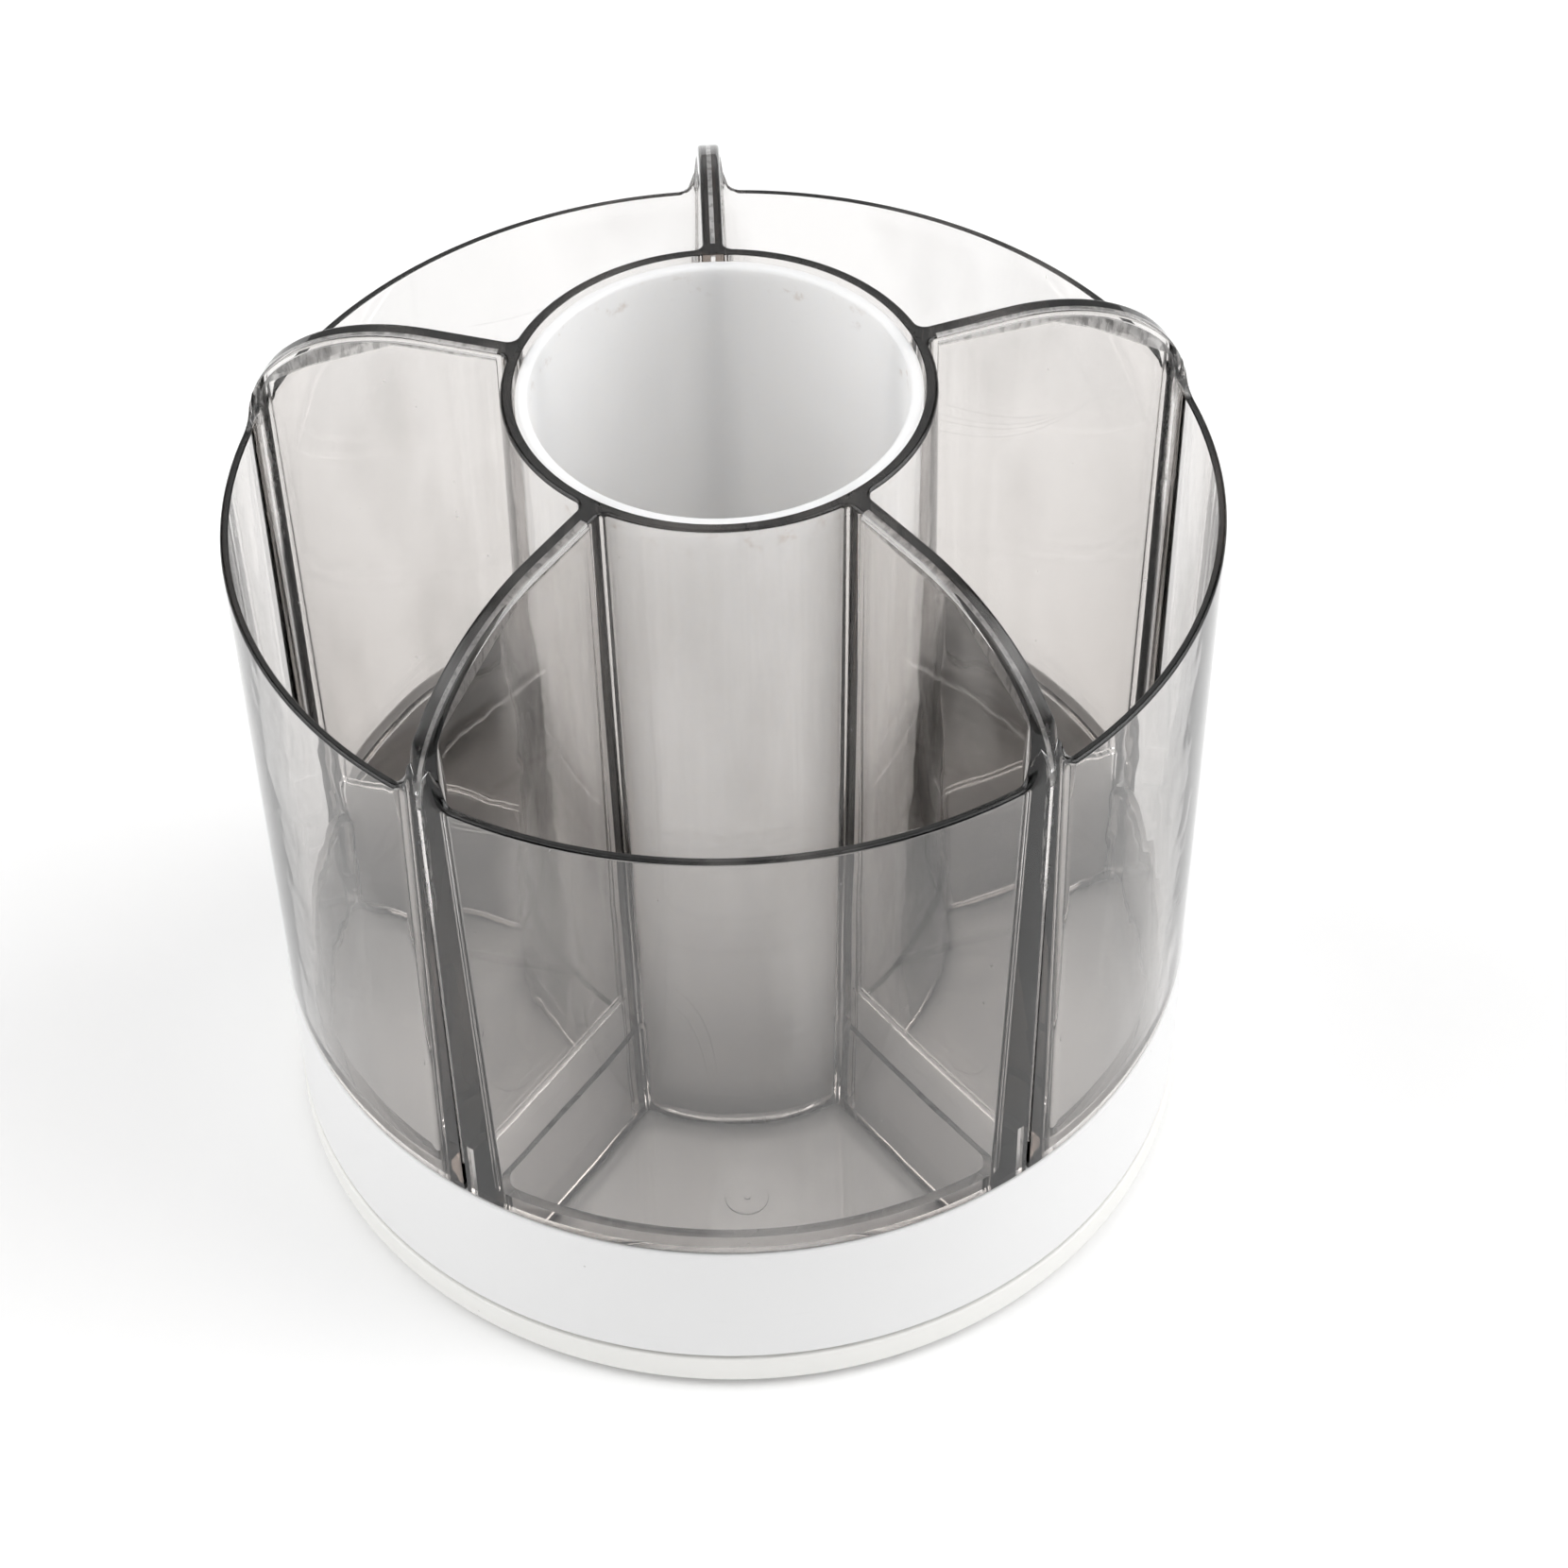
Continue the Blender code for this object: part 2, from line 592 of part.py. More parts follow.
def build_bearing(parts):
    """Two grooved steel rings, a cage and the balls between them."""
    steel = plastic("race_steel", (0.55, 0.55, 0.56), 0.3, metallic=1.0)
    ball_steel = plastic("ball_steel", (0.75, 0.75, 0.76), 0.12, metallic=1.0)
    nylon = plastic("cage_nylon", (0.80, 0.80, 0.76), 0.5)
    lower_flat = BASE_TOP - RACE_RECESS_DEPTH + RUNNING_GAP
    upper_flat = TRAY_UNDERSIDE + RACE_RECESS_DEPTH - RUNNING_GAP
    turned(
        "lower_race", race_profile(lower_flat, BASE_TOP + RACE_STANDS_PROUD), RING_STEPS, parts, steel, closed=True
    )
    turned(
        "upper_race", race_profile(upper_flat, TRAY_UNDERSIDE - RACE_STANDS_PROUD), RING_STEPS, parts, steel,
        closed=True,
    )
    build_cage(parts, nylon)
    ball_mesh = ball_shape(ball_steel)
    for i, centre in enumerate(ball_centres(), start=1):
        ball = add_object(f"ball_{i:02d}", ball_mesh, parts)
        ball.location = (*centre, BALL_CENTRE_HEIGHT)


def ball_centres():
    """Centre of each ball, seen from above."""
    return [on_circle(BALL_CIRCLE_RADIUS, math.tau * i / BALL_COUNT) for i in range(BALL_COUNT)]


def build_cage(parts, material):
    """The flat cage ring with a hole for each ball, drawn as circles in one filled curve."""
    curve = bpy.data.curves.new("ball_cage", "CURVE")
    curve.dimensions = "2D"
    curve.fill_mode = "BOTH"
    curve.extrude = CAGE_THICKNESS / 2
    rings = [
        ((0.0, 0.0), BALL_CIRCLE_RADIUS + CAGE_WIDTH / 2, RING_STEPS),
        ((0.0, 0.0), BALL_CIRCLE_RADIUS - CAGE_WIDTH / 2, RING_STEPS),
    ]
    rings += [(centre, BALL_RADIUS + RUNNING_GAP, SMALL_STEPS // 2) for centre in ball_centres()]
    for centre, radius, points in rings:
        spline = curve.splines.new("POLY")
        spline.points.add(points - 1)
        for i, point in enumerate(spline.points):
            x, y = on_circle(radius, math.tau * i / points)
            point.co = (centre[0] + x, centre[1] + y, 0.0, 1.0)
        spline.use_cyclic_u = True
    curve.materials.append(material)
    cage = bpy.data.objects.new("ball_cage", curve)
    parts.objects.link(cage)
    cage.location.z = BALL_CENTRE_HEIGHT


def ball_shape(material):
    """The mesh that all the balls share."""
    bm = bmesh.new()
    bmesh.ops.create_uvsphere(bm, u_segments=BALL_SEGMENTS, v_segments=BALL_RINGS, radius=BALL_RADIUS)
    mesh = finish_mesh(bm, "ball")
    mesh.materials.append(material)
    return mesh


def build_pivot(parts, cutters):
    """The bush in the tray's hub, and the screw and washer that keep the tray on the boss."""
    nylon = plastic("bush_nylon", (0.78, 0.78, 0.74), 0.5)
    zinc = plastic("zinc_plated_steel", (0.66, 0.66, 0.68), 0.28, metallic=1.0)
    flange_top = TRAY_UNDERSIDE - RUNNING_GAP
    flange_radius = BUSH_RADIUS + BUSH_FLANGE_WIDTH
    bush = [
        (BUSH_RADIUS, TRAY_FLOOR_TOP),
        (BUSH_RADIUS, flange_top),
        (flange_radius, flange_top),
        (flange_radius, flange_top - BUSH_FLANGE_THICKNESS),
        (BUSH_BORE_RADIUS, flange_top - BUSH_FLANGE_THICKNESS),
        (BUSH_BORE_RADIUS, TRAY_FLOOR_TOP),
    ]
    turned("pivot_bush", bush, SMALL_STEPS, parts, nylon, closed=True)
    washer_top = WASHER_BOTTOM + WASHER_THICKNESS
    washer = [
        (WASHER_RADIUS, washer_top),
        (WASHER_RADIUS, WASHER_BOTTOM),
        (SCREW_HOLE_RADIUS, WASHER_BOTTOM),
        (SCREW_HOLE_RADIUS, washer_top),
    ]
    turned("retaining_washer", washer, SMALL_STEPS, parts, zinc, closed=True)
    head_top = SCREW_HEAD_BOTTOM + SCREW_HEAD_HEIGHT
    screw_profile = [
        (0.0, head_top),
        (SCREW_HEAD_RADIUS - SCREW_HEAD_ROUND, head_top),
        (SCREW_HEAD_RADIUS, head_top - SCREW_HEAD_ROUND),
        (SCREW_HEAD_RADIUS, SCREW_HEAD_BOTTOM),
        (SCREW_RADIUS, SCREW_HEAD_BOTTOM),
        (SCREW_RADIUS, SCREW_HEAD_BOTTOM - SCREW_LENGTH),
        (0.0, SCREW_HEAD_BOTTOM - SCREW_LENGTH),
    ]
    screw = turned("pivot_screw", screw_profile, SMALL_STEPS, parts, zinc)
    half_long = SCREW_CROSS_LENGTH / 2
    half_wide = SCREW_CROSS_WIDTH / 2
    cross = [
        (half_wide, half_wide), (half_wide, half_long), (-half_wide, half_long), (-half_wide, half_wide),
        (-half_long, half_wide), (-half_long, -half_wide), (-half_wide, -half_wide), (-half_wide, -half_long),
        (half_wide, -half_long), (half_wide, -half_wide), (half_long, -half_wide), (half_long, half_wide),
    ]
    recess = prism("cross_recess_cutter", cross, head_top - SCREW_CROSS_DEPTH, head_top + CUT_OVERRUN, cutters)
    combine(screw, recess, "DIFFERENCE")


def main():
    """Build every piece of the pen holder."""
    clear_scene()
    parts = new_collection(OBJECT_NAME)
    cutters = new_collection("cutters")
    build_holder(parts, cutters)
    build_cup(parts)
    build_tray(parts, cutters)
    build_base(parts, cutters)
    build_pads(parts)
    build_bearing(parts)
    build_pivot(parts, cutters)


main()
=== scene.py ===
"""Rotating pen holder, dressed: smoky clear body, white cup, turning tray, base, ball bearing and pivot."""

import logging
import math
from dataclasses import dataclass, field
from enum import Enum
from functools import partial
from typing import Callable, Iterable, Sequence

import bmesh
import bpy
from bmesh.types import BMEdge, BMesh, BMVert
from bpy.types import Material, Mesh, Node, NodeSocket
from mathutils import Matrix, Vector


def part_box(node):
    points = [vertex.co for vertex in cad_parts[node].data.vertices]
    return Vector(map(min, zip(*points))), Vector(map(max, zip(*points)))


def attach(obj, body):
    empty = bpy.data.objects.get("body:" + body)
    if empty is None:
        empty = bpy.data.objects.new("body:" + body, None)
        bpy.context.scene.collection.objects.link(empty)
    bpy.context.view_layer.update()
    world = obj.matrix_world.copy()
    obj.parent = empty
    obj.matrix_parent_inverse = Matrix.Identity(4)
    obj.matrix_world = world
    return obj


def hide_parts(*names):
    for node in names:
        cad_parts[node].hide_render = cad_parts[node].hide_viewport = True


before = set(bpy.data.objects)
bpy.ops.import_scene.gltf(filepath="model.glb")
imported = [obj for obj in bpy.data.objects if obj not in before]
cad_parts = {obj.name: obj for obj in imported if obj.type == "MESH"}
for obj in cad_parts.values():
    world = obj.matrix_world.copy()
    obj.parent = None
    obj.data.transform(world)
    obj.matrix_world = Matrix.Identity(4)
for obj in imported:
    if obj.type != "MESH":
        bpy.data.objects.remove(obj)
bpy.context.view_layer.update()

LOG = logging.getLogger("pen_holder")
WELD = 1e-6
SHARP = math.radians(50)
ORIGIN = (0.0, 0.0, 0.0)
UP = (0.0, 0.0, 1.0)
QUARTER = math.pi / 2
Point = tuple[float, float]
Triple = tuple[float, float, float]
Rgba = tuple[float, float, float, float]


def polar(radius: float, angle: float) -> Point:
    """The point of a circle about Z at an angle."""
    return radius * math.cos(angle), radius * math.sin(angle)


def between(start: float, end: float, share: "Term") -> "Term":
    """The value that lies a share of the way from start to end."""
    return start + (end - start) * share


def smooth_step(share: float) -> float:
    """An eased share, level at both ends."""
    held = min(max(share, 0.0), 1.0)
    return held * held * (3.0 - 2.0 * held)


# Shader nodes


class Sock:
    """A shader output that Python's operators turn into Math nodes."""

    def __init__(self, sheet: "NodeSheet", output: NodeSocket) -> None:
        """Wrap one output of a node on a sheet."""
        self.sheet = sheet
        self.output = output

    def __add__(self, other: "Term") -> "Sock":
        """Sum."""
        return self.sheet.math("ADD", self, other)

    __radd__ = __add__

    def __sub__(self, other: "Term") -> "Sock":
        """Difference."""
        return self.sheet.math("SUBTRACT", self, other)

    def __rsub__(self, other: "Term") -> "Sock":
        """Difference from a number."""
        return self.sheet.math("SUBTRACT", other, self)

    def __mul__(self, other: "Term") -> "Sock":
        """Product."""
        return self.sheet.math("MULTIPLY", self, other)

    __rmul__ = __mul__

    def __truediv__(self, other: "Term") -> "Sock":
        """Quotient."""
        return self.sheet.math("DIVIDE", self, other)

    def __rtruediv__(self, other: "Term") -> "Sock":
        """Quotient of a number."""
        return self.sheet.math("DIVIDE", other, self)

    def __abs__(self) -> "Sock":
        """Size without its sign."""
        return self.sheet.math("ABSOLUTE", self)

    def above(self, low: float, high: float) -> "Sock":
        """0 below low, 1 above high, eased between them."""
        return self.sheet.eased(self, low, high)

    def below(self, low: float, high: float) -> "Sock":
        """1 below low, 0 above high, eased between them."""
        return 1.0 - self.sheet.eased(self, low, high)


Term = Sock | float


class NodeSheet:
    """A node tree that one method fills."""

    def __init__(self, tree: bpy.types.NodeTree) -> None:
        """Empty a node tree and hold it."""
        self.tree = tree
        tree.nodes.clear()

    def node(self, kind: str, settings: dict | None = None, inputs: dict | None = None) -> Node:
        """Add a node.

        Args:
            kind: The node's type.
            settings: Attributes to set first.
            inputs: Values or links, by a socket's identifier or name.

        Returns:
            The new node.
        """
        made = self.tree.nodes.new(kind)
        for name, value in (settings or {}).items():
            setattr(made, name, value)
        for key, value in (inputs or {}).items():
            named = [s for s in made.inputs if s.identifier == key] or [made.inputs[key]]
            if isinstance(value, (Sock, NodeSocket)):
                self.tree.links.new(getattr(value, "output", value), named[0])
            else:
                named[0].default_value = value
        return made

    def math(self, operation: str, *terms: Term) -> Sock:
        """A Math node on numbers or sockets."""
        inputs = {("Value", "Value_001", "Value_002")[i]: term for i, term in enumerate(terms)}
        return Sock(self, self.node("ShaderNodeMath", {"operation": operation}, inputs).outputs[0])

    def eased(self, value: Term, low: float, high: float) -> Sock:
        """A value's place between two limits, as an eased share."""
        settings = {"interpolation_type": "SMOOTHSTEP"}
        inputs = {"Value": value, "From Min": low, "From Max": high}
        return Sock(self, self.node("ShaderNodeMapRange", settings, inputs).outputs[0])

    def mix(self, factor: Term, first: object, second: object) -> Sock:
        """A colour between two colours."""
        inputs = {"Factor_Float": factor, "A_Color": first, "B_Color": second}
        return Sock(self, self.node("ShaderNodeMix", {"data_type": "RGBA"}, inputs).outputs[2])

    def place(self) -> Sock:
        """The point on the piece, in the object's own frame."""
        return Sock(self, self.node("ShaderNodeTexCoord").outputs["Object"])

    def attribute(self, name: str) -> Sock:
        """A number stored on the piece's own mesh."""
        return Sock(self, self.node("ShaderNodeAttribute", {"attribute_name": name}).outputs["Fac"])

    def stretched(self, vector: Sock, scale: Triple) -> Sock:
        """A vector scaled along each axis."""
        return Sock(self, self.node("ShaderNodeMapping", None, {"Vector": vector, "Scale": scale}).outputs[0])

    def parts(self, vector: Sock) -> tuple[Sock, Sock, Sock]:
        """The X, Y and Z of a vector."""
        made = self.node("ShaderNodeSeparateXYZ", None, {"Vector": vector})
        return tuple(Sock(self, output) for output in made.outputs)

    def noise(self, vector: Sock, scale: float, octaves: float, weight: float) -> Sock:
        """Fractal noise from 0 to 1, with scale in features per metre."""
        inputs = {"Vector": vector, "Scale": scale, "Detail": octaves, "Roughness": weight}
        return Sock(self, self.node("ShaderNodeTexNoise", None, inputs).outputs[0])

    def cells(self, vector: Sock, scale: float) -> tuple[Sock, Sock]:
        """Distance to the nearest of scattered points, and a random number for each point."""
        made = self.node("ShaderNodeTexVoronoi", None, {"Vector": vector, "Scale": scale})
        chance, _, _ = self.parts(Sock(self, made.outputs["Color"]))
        return Sock(self, made.outputs["Distance"]), chance

    def bump(self, height: Sock, distance: float) -> Sock:
        """A normal from a height that runs from 0 to 1."""
        inputs = {"Height": height, "Distance": distance, "Strength": 1.0}
        return Sock(self, self.node("ShaderNodeBump", None, inputs).outputs[0])


# Finishes


@dataclass(frozen=True)
class Pattern:
    """Fractal noise: features per metre, octaves, their weight, a stretch, and the two limits of a mask."""

    scale: float
    octaves: float
    weight: float
    stretch: Triple | None = None
    limits: Point | None = None

    def on(self, sheet: NodeSheet, place: Sock) -> Sock:
        """The pattern at a point, from 0 to 1."""
        spread = sheet.stretched(place, self.stretch) if self.stretch else place
        value = sheet.noise(spread, self.scale, self.octaves, self.weight)
        return value.above(*self.limits) if self.limits else value


@dataclass(frozen=True)
class Specks:
    """Round specks: cells per metre, a speck's radius and the empty cells as shares, and a stretch."""

    scale: float
    size: float
    rarity: float
    stretch: Triple | None = None
    core: float = 0.6
    chance_step: float = 0.02

    def on(self, sheet: NodeSheet, place: Sock) -> Sock:
        """1 inside a speck, 0 between them."""
        spread = sheet.stretched(place, self.stretch) if self.stretch else place
        distance, chance = sheet.cells(spread, self.scale)
        inside = distance.below(self.size * self.core, self.size)
        return inside * chance.above(self.rarity, self.rarity + self.chance_step)


@dataclass(frozen=True)
class Finish:
    """A surface finish, which makes its own material."""

    name: str
    colour: Triple
    roughness: float

    def make(self) -> Material:
        """Make the finish as a material with its own node tree.

        Returns:
            The material.
        """
        material = bpy.data.materials.new(self.name)
        material.use_nodes = True
        material.diffuse_color = (*self.colour, 1.0)
        sheet = NodeSheet(material.node_tree)
        output = {"Surface": self.shader(sheet).outputs[0]}
        volume = self.volume(sheet)
        if volume is not None:
            output["Volume"] = volume.outputs[0]
        sheet.node("ShaderNodeOutputMaterial", None, output)
        return material

    def shader(self, sheet: NodeSheet) -> Node:
        """The surface shader."""
        raise NotImplementedError

    def volume(self, sheet: NodeSheet) -> Node | None:
        """The volume shader, where the finish has one."""
        return None

    def tone(self, light: float) -> Rgba:
        """The finish's colour made lighter or darker."""
        return (*(min(channel * light, 1.0) for channel in self.colour), 1.0)


@dataclass(frozen=True)
class SmokyClear(Finish):
    """Polished clear plastic with a grey tint that deepens with thickness."""

    ior: float = 1.5
    density: float = 60.0
    tint: Triple = (0.43, 0.357, 0.307)
    waves: Pattern = Pattern(38.0, 1.5, 0.4, (1.0, 1.0, 0.45))
    ripple: Pattern = Pattern(95.0, 2.0, 0.5, (1.0, 1.0, 0.6))
    ripple_share: float = 0.3
    wave_depth: float = 0.00009
    dust: Specks = Specks(260.0, 0.06, 0.9)
    dust_share: float = 0.4
    dust_tone: Rgba = (0.8, 0.8, 0.8, 1.0)
    dust_roughness: float = 0.3
    compartments: int = 5
    first_divider: float = math.radians(90)
    slot_half_width: float = 0.0005
    slot_fade: float = 1.3
    slot_mouth: float = 0.0617
    mouth_fade: float = 0.0004
    slot_ceiling: float = 0.0015
    ceiling_edge: Point = (0.0002, 0.0005)
    # Painted shade: below the scuffed top, the slot's mouth is tinted near black for the dark line it shows.
    mouth_painted_shade: float = 0.85
    mouth_shade_tone: Rgba = (0.01, 0.01, 0.01, 1.0)
    # Painted shade: the slot's ceiling is tinted dark grey, more where the scuff pattern is high.
    ceiling_painted_shade: Point = (0.45, 0.85)
    ceiling_shade_tone: Rgba = (0.06, 0.06, 0.06, 1.0)
    ceiling_roughness: float = 0.3
    scuffs: Pattern = Pattern(1.0, 3.0, 0.7, (900.0, 900.0, 240.0), (0.45, 0.62))
    scuff_height: float = 0.088
    scuff_fade: float = 0.008
    scuff_roughness: Point = (0.08, 0.48)
    film_tone: Rgba = (0.9, 0.88, 0.86, 1.0)
    film_under_crest: Point = (0.001, 0.004)
    # Painted reflection: pale film clouds stand in for soft reflections of the lights on the walls.
    clouds: Pattern = Pattern(52.0, 2.0, 0.5, (1.0, 1.0, 0.35), (0.52, 0.72))
    cloud_painted_reflection: float = 0.10
    streaks: Pattern = Pattern(1.0, 3.0, 0.6, (420.0, 420.0, 9.0), (0.35, 0.75))
    streak_from: Point = (0.0268, 0.0272)
    streak_to: Point = (0.030, 0.043)
    streak_heights: Point = (0.045, 0.085)
    milky_film: float = 0.08
    contours: Pattern = Pattern(17.0, 0.0, 0.4)
    line_width: Point = (0.0004, 0.0011)
    line_patches: Pattern = Pattern(23.0, 0.0, 0.4, None, (0.66, 0.7))
    line_film: float = 0.1
    nicks: Specks = Specks(420.0, 0.07, 0.9, (1.0, 1.0, 0.5))
    nick_heights: Point = (0.095, 0.1005)
    nick_from: Point = (0.0615, 0.062)
    nick_film: float = 0.7

    def shader(self, sheet: NodeSheet) -> Node:
        """Clear plastic with flow waves, painted shade in the slots, partly under a pale film whose clouds
        are painted reflection.

        Args:
            sheet: The material's sheet.

        Returns:
            The clear plastic mixed with the film.
        """
        place = sheet.place()
        x, y, z = sheet.parts(place)
        radius = sheet.math("SQRT", x * x + y * y)
        under_crest = sheet.attribute("crest") - z
        off_divider = self.off_divider(sheet, x, y, radius)
        in_slot = off_divider.below(self.slot_half_width, self.slot_half_width * self.slot_fade)
        at_mouth = in_slot * radius.above(self.slot_mouth, self.slot_mouth + self.mouth_fade)
        at_ceiling = in_slot * abs(under_crest - self.slot_ceiling).below(*self.ceiling_edge)
        low = z.below(self.scuff_height - self.scuff_fade, self.scuff_height)
        scuffed = self.scuffs.on(sheet, place)
        dust = self.dust.on(sheet, place)
        ragged = at_mouth * (1.0 - low) * between(*self.scuff_roughness, scuffed)
        colour = sheet.mix(dust * self.dust_share, self.tone(1.0), self.dust_tone)
        # Painted shade: the slot's mouth below the scuffed top is tinted near black.
        colour = sheet.mix(at_mouth * low * self.mouth_painted_shade, colour, self.mouth_shade_tone)
        # Painted shade: the slot's ceiling is tinted dark grey, varied by the scuff pattern.
        colour = sheet.mix(at_ceiling * between(*self.ceiling_painted_shade, scuffed), colour, self.ceiling_shade_tone)
        roughness = self.roughness + dust * self.dust_roughness + ragged
        inputs = {
            "Base Color": colour,
            "Roughness": roughness + at_ceiling * self.ceiling_roughness,
            "IOR": self.ior,
            "Transmission Weight": 1.0,
            "Normal": self.flow(sheet, place),
        }
        clear = sheet.node("ShaderNodeBsdfPrincipled", None, inputs)
        # A pale diffuse film: its clouds are painted reflection; the rest are milky streaks, hairlines and
        # nicks.
        film = sheet.node("ShaderNodeBsdfDiffuse", None, {"Color": self.film_tone})
        cover = self.cover(sheet, place, radius, z) * sheet.attribute("upright")
        cover = cover * under_crest.above(*self.film_under_crest)
        return sheet.node("ShaderNodeMixShader", None, {0: cover, 1: clear.outputs[0], 2: film.outputs[0]})

    def flow(self, sheet: NodeSheet, place: Sock) -> Sock:
        """Normal of the slow waves of a moulded face, which differ from one side of a wall to the other."""
        inputs = {"Vector": place, "Vector_001": sheet.attribute("side")}
        own = Sock(sheet, sheet.node("ShaderNodeVectorMath", {"operation": "ADD"}, inputs).outputs[0])
        height = self.waves.on(sheet, own) + self.ripple.on(sheet, own) * self.ripple_share
        return sheet.bump(height, self.wave_depth)

    def off_divider(self, sheet: NodeSheet, x: Sock, y: Sock, radius: Sock) -> Sock:
        """Distance from the middle plane of the nearest divider."""
        fold = math.tau / self.compartments
        turn = sheet.math("ARCTAN2", y, x) / fold + (0.5 - self.first_divider / fold)
        return abs(sheet.math("SINE", (sheet.math("FRACT", turn) - 0.5) * fold)) * radius

    def cover(self, sheet: NodeSheet, place: Sock, radius: Sock, z: Sock) -> Sock:
        """How much of the surface a pale film covers.

        Args:
            sheet: The material's sheet.
            place: The point on the piece.
            radius: Its distance from the axis.
            z: Its height.

        Returns:
            The share: clouds of painted reflection, milky streaks by the tube, hairlines, and nicks below the
                rim.
        """
        near_tube = radius.above(*self.streak_from) * radius.below(*self.streak_to)
        milky = near_tube * z.above(*self.streak_heights) * self.streaks.on(sheet, place)
        line = abs(self.contours.on(sheet, place) - 0.5).below(*self.line_width)
        line = line * self.line_patches.on(sheet, place)
        nicks = self.nicks.on(sheet, place) * z.above(*self.nick_heights) * radius.above(*self.nick_from)
        # Painted reflection: the cloud share of the pale film.
        film = self.clouds.on(sheet, place) * self.cloud_painted_reflection + milky * self.milky_film
        return film + line * self.line_film + nicks * self.nick_film

    def volume(self, sheet: NodeSheet) -> Node:
        """Grey absorption, so that thick stretches and edges go dark."""
        inputs = {"Color": (*self.tint, 1.0), "Density": self.density}
        return sheet.node("ShaderNodeVolumeAbsorption", None, inputs)


@dataclass(frozen=True)
class SatinPlastic(Finish):
    """Moulded opaque plastic with a fine grain, faint scuffs and a little dust."""

    ior: float = 1.49
    grain: float = 2400.0
    grain_depth: float = 0.000006
    clouds: Pattern = Pattern(22.0, 3.0, 0.5)
    cloud_tones: Point = (0.985, 1.01)
    scuff_stretch: Triple = (1.0, 1.0, 1.0)
    scuff_tone: float = 0.9
    scuff_share: float = 0.25
    scuff_height: float = 0.3
    wander: float = 0.12
    dust: Specks = Specks(320.0, 0.07, 0.93)
    dust_share: float = 0.5
    dust_tone: Rgba = (0.42, 0.4, 0.38, 1.0)
    smudges: Pattern = Pattern(420.0, 4.0, 0.6, None, (0.56, 0.74))
    stain: float = 0.0
    stain_height: float = 0.0
    stain_reach: Point = (0.0006, 0.0026)
    stain_tone: Rgba = (0.46, 0.36, 0.30, 1.0)
    depth: float = 0.0
    depth_by_colour: Triple = (1.0, 0.97, 0.93)

    def shader(self, sheet: NodeSheet) -> Node:
        """Satin plastic whose tone and gloss wander a little.

        Args:
            sheet: The material's sheet.

        Returns:
            The shader.
        """
        place = sheet.place()
        cloud = self.clouds.on(sheet, place)
        fine = Pattern(self.grain, 2.0, 0.6).on(sheet, place)
        scuffs = Pattern(300.0, 4.0, 0.7, self.scuff_stretch, (0.62, 0.78)).on(sheet, place)
        colour = sheet.mix(cloud, *(self.tone(light) for light in self.cloud_tones))
        colour = sheet.mix(scuffs * self.scuff_share, colour, self.tone(self.scuff_tone))
        colour = sheet.mix(self.dust.on(sheet, place) * self.dust_share, colour, self.dust_tone)
        if self.stain:
            _, _, z = sheet.parts(place)
            near_rim = abs(z - self.stain_height).below(*self.stain_reach)
            smudge = self.smudges.on(sheet, place) * near_rim * self.stain
            colour = sheet.mix(smudge, colour, self.stain_tone)
        inputs = {
            "Base Color": colour,
            "Roughness": self.roughness + (cloud - 0.5) * self.wander + scuffs * self.wander,
            "IOR": self.ior,
            "Normal": sheet.bump(fine + scuffs * self.scuff_height, self.grain_depth),
        }
        if self.depth:
            inputs["Subsurface Weight"] = 1.0
            inputs["Subsurface Radius"] = self.depth_by_colour
            inputs["Subsurface Scale"] = self.depth
        return sheet.node("ShaderNodeBsdfPrincipled", None, inputs)


@dataclass(frozen=True)
class TurnedSteel(Finish):
    """Turned or plated steel with rings of fine tool marks."""

    rings: float = 9000.0
    ring_depth: float = 0.000004
    ring_wander: float = 0.1
    clouds: Pattern = Pattern(260.0, 4.0, 0.6)
    cloud_tones: Point = (0.82, 1.12)
    cloud_wander: float = 0.16
    coat: float = 0.0

    def shader(self, sheet: NodeSheet) -> Node:
        """Metal whose gloss follows the tool marks, with a film of grease or plating.

        Args:
            sheet: The material's sheet.

        Returns:
            The shader.
        """
        place = sheet.place()
        x, y, z = sheet.parts(place)
        inputs = {"X": sheet.math("SQRT", x * x + y * y), "Z": z}
        along = Sock(sheet, sheet.node("ShaderNodeCombineXYZ", None, inputs).outputs[0])
        marks = Pattern(self.rings, 2.0, 0.6).on(sheet, along)
        cloud = self.clouds.on(sheet, place)
        roughness = self.roughness + (cloud - 0.5) * self.cloud_wander
        inputs = {
            "Base Color": sheet.mix(cloud, *(self.tone(light) for light in self.cloud_tones)),
            "Metallic": 1.0,
            "Roughness": roughness + (marks - 0.5) * self.ring_wander,
            "Coat Weight": self.coat * cloud,
            "Normal": sheet.bump(marks, self.ring_depth),
        }
        return sheet.node("ShaderNodeBsdfPrincipled", None, inputs)


@dataclass(frozen=True)
class PadRubber(Finish):
    """Soft dark rubber with a pebbled face and pale dust."""

    pebbles: float = 2600.0
    pebble_depth: float = 0.00003
    dust: Pattern = Pattern(900.0, 4.0, 0.65, None, (0.5, 0.8))
    dust_share: float = 0.35
    dust_light: float = 2.2
    dust_roughness: float = 0.1

    def shader(self, sheet: NodeSheet) -> Node:
        """Matt rubber.

        Args:
            sheet: The material's sheet.

        Returns:
            The shader.
        """
        place = sheet.place()
        pebble, _ = sheet.cells(place, self.pebbles)
        dust = self.dust.on(sheet, place)
        inputs = {
            "Base Color": sheet.mix(dust * self.dust_share, self.tone(1.0), self.tone(self.dust_light)),
            "Roughness": self.roughness + dust * self.dust_roughness,
            "Normal": sheet.bump(pebble, self.pebble_depth),
        }
        return sheet.node("ShaderNodeBsdfPrincipled", None, inputs)


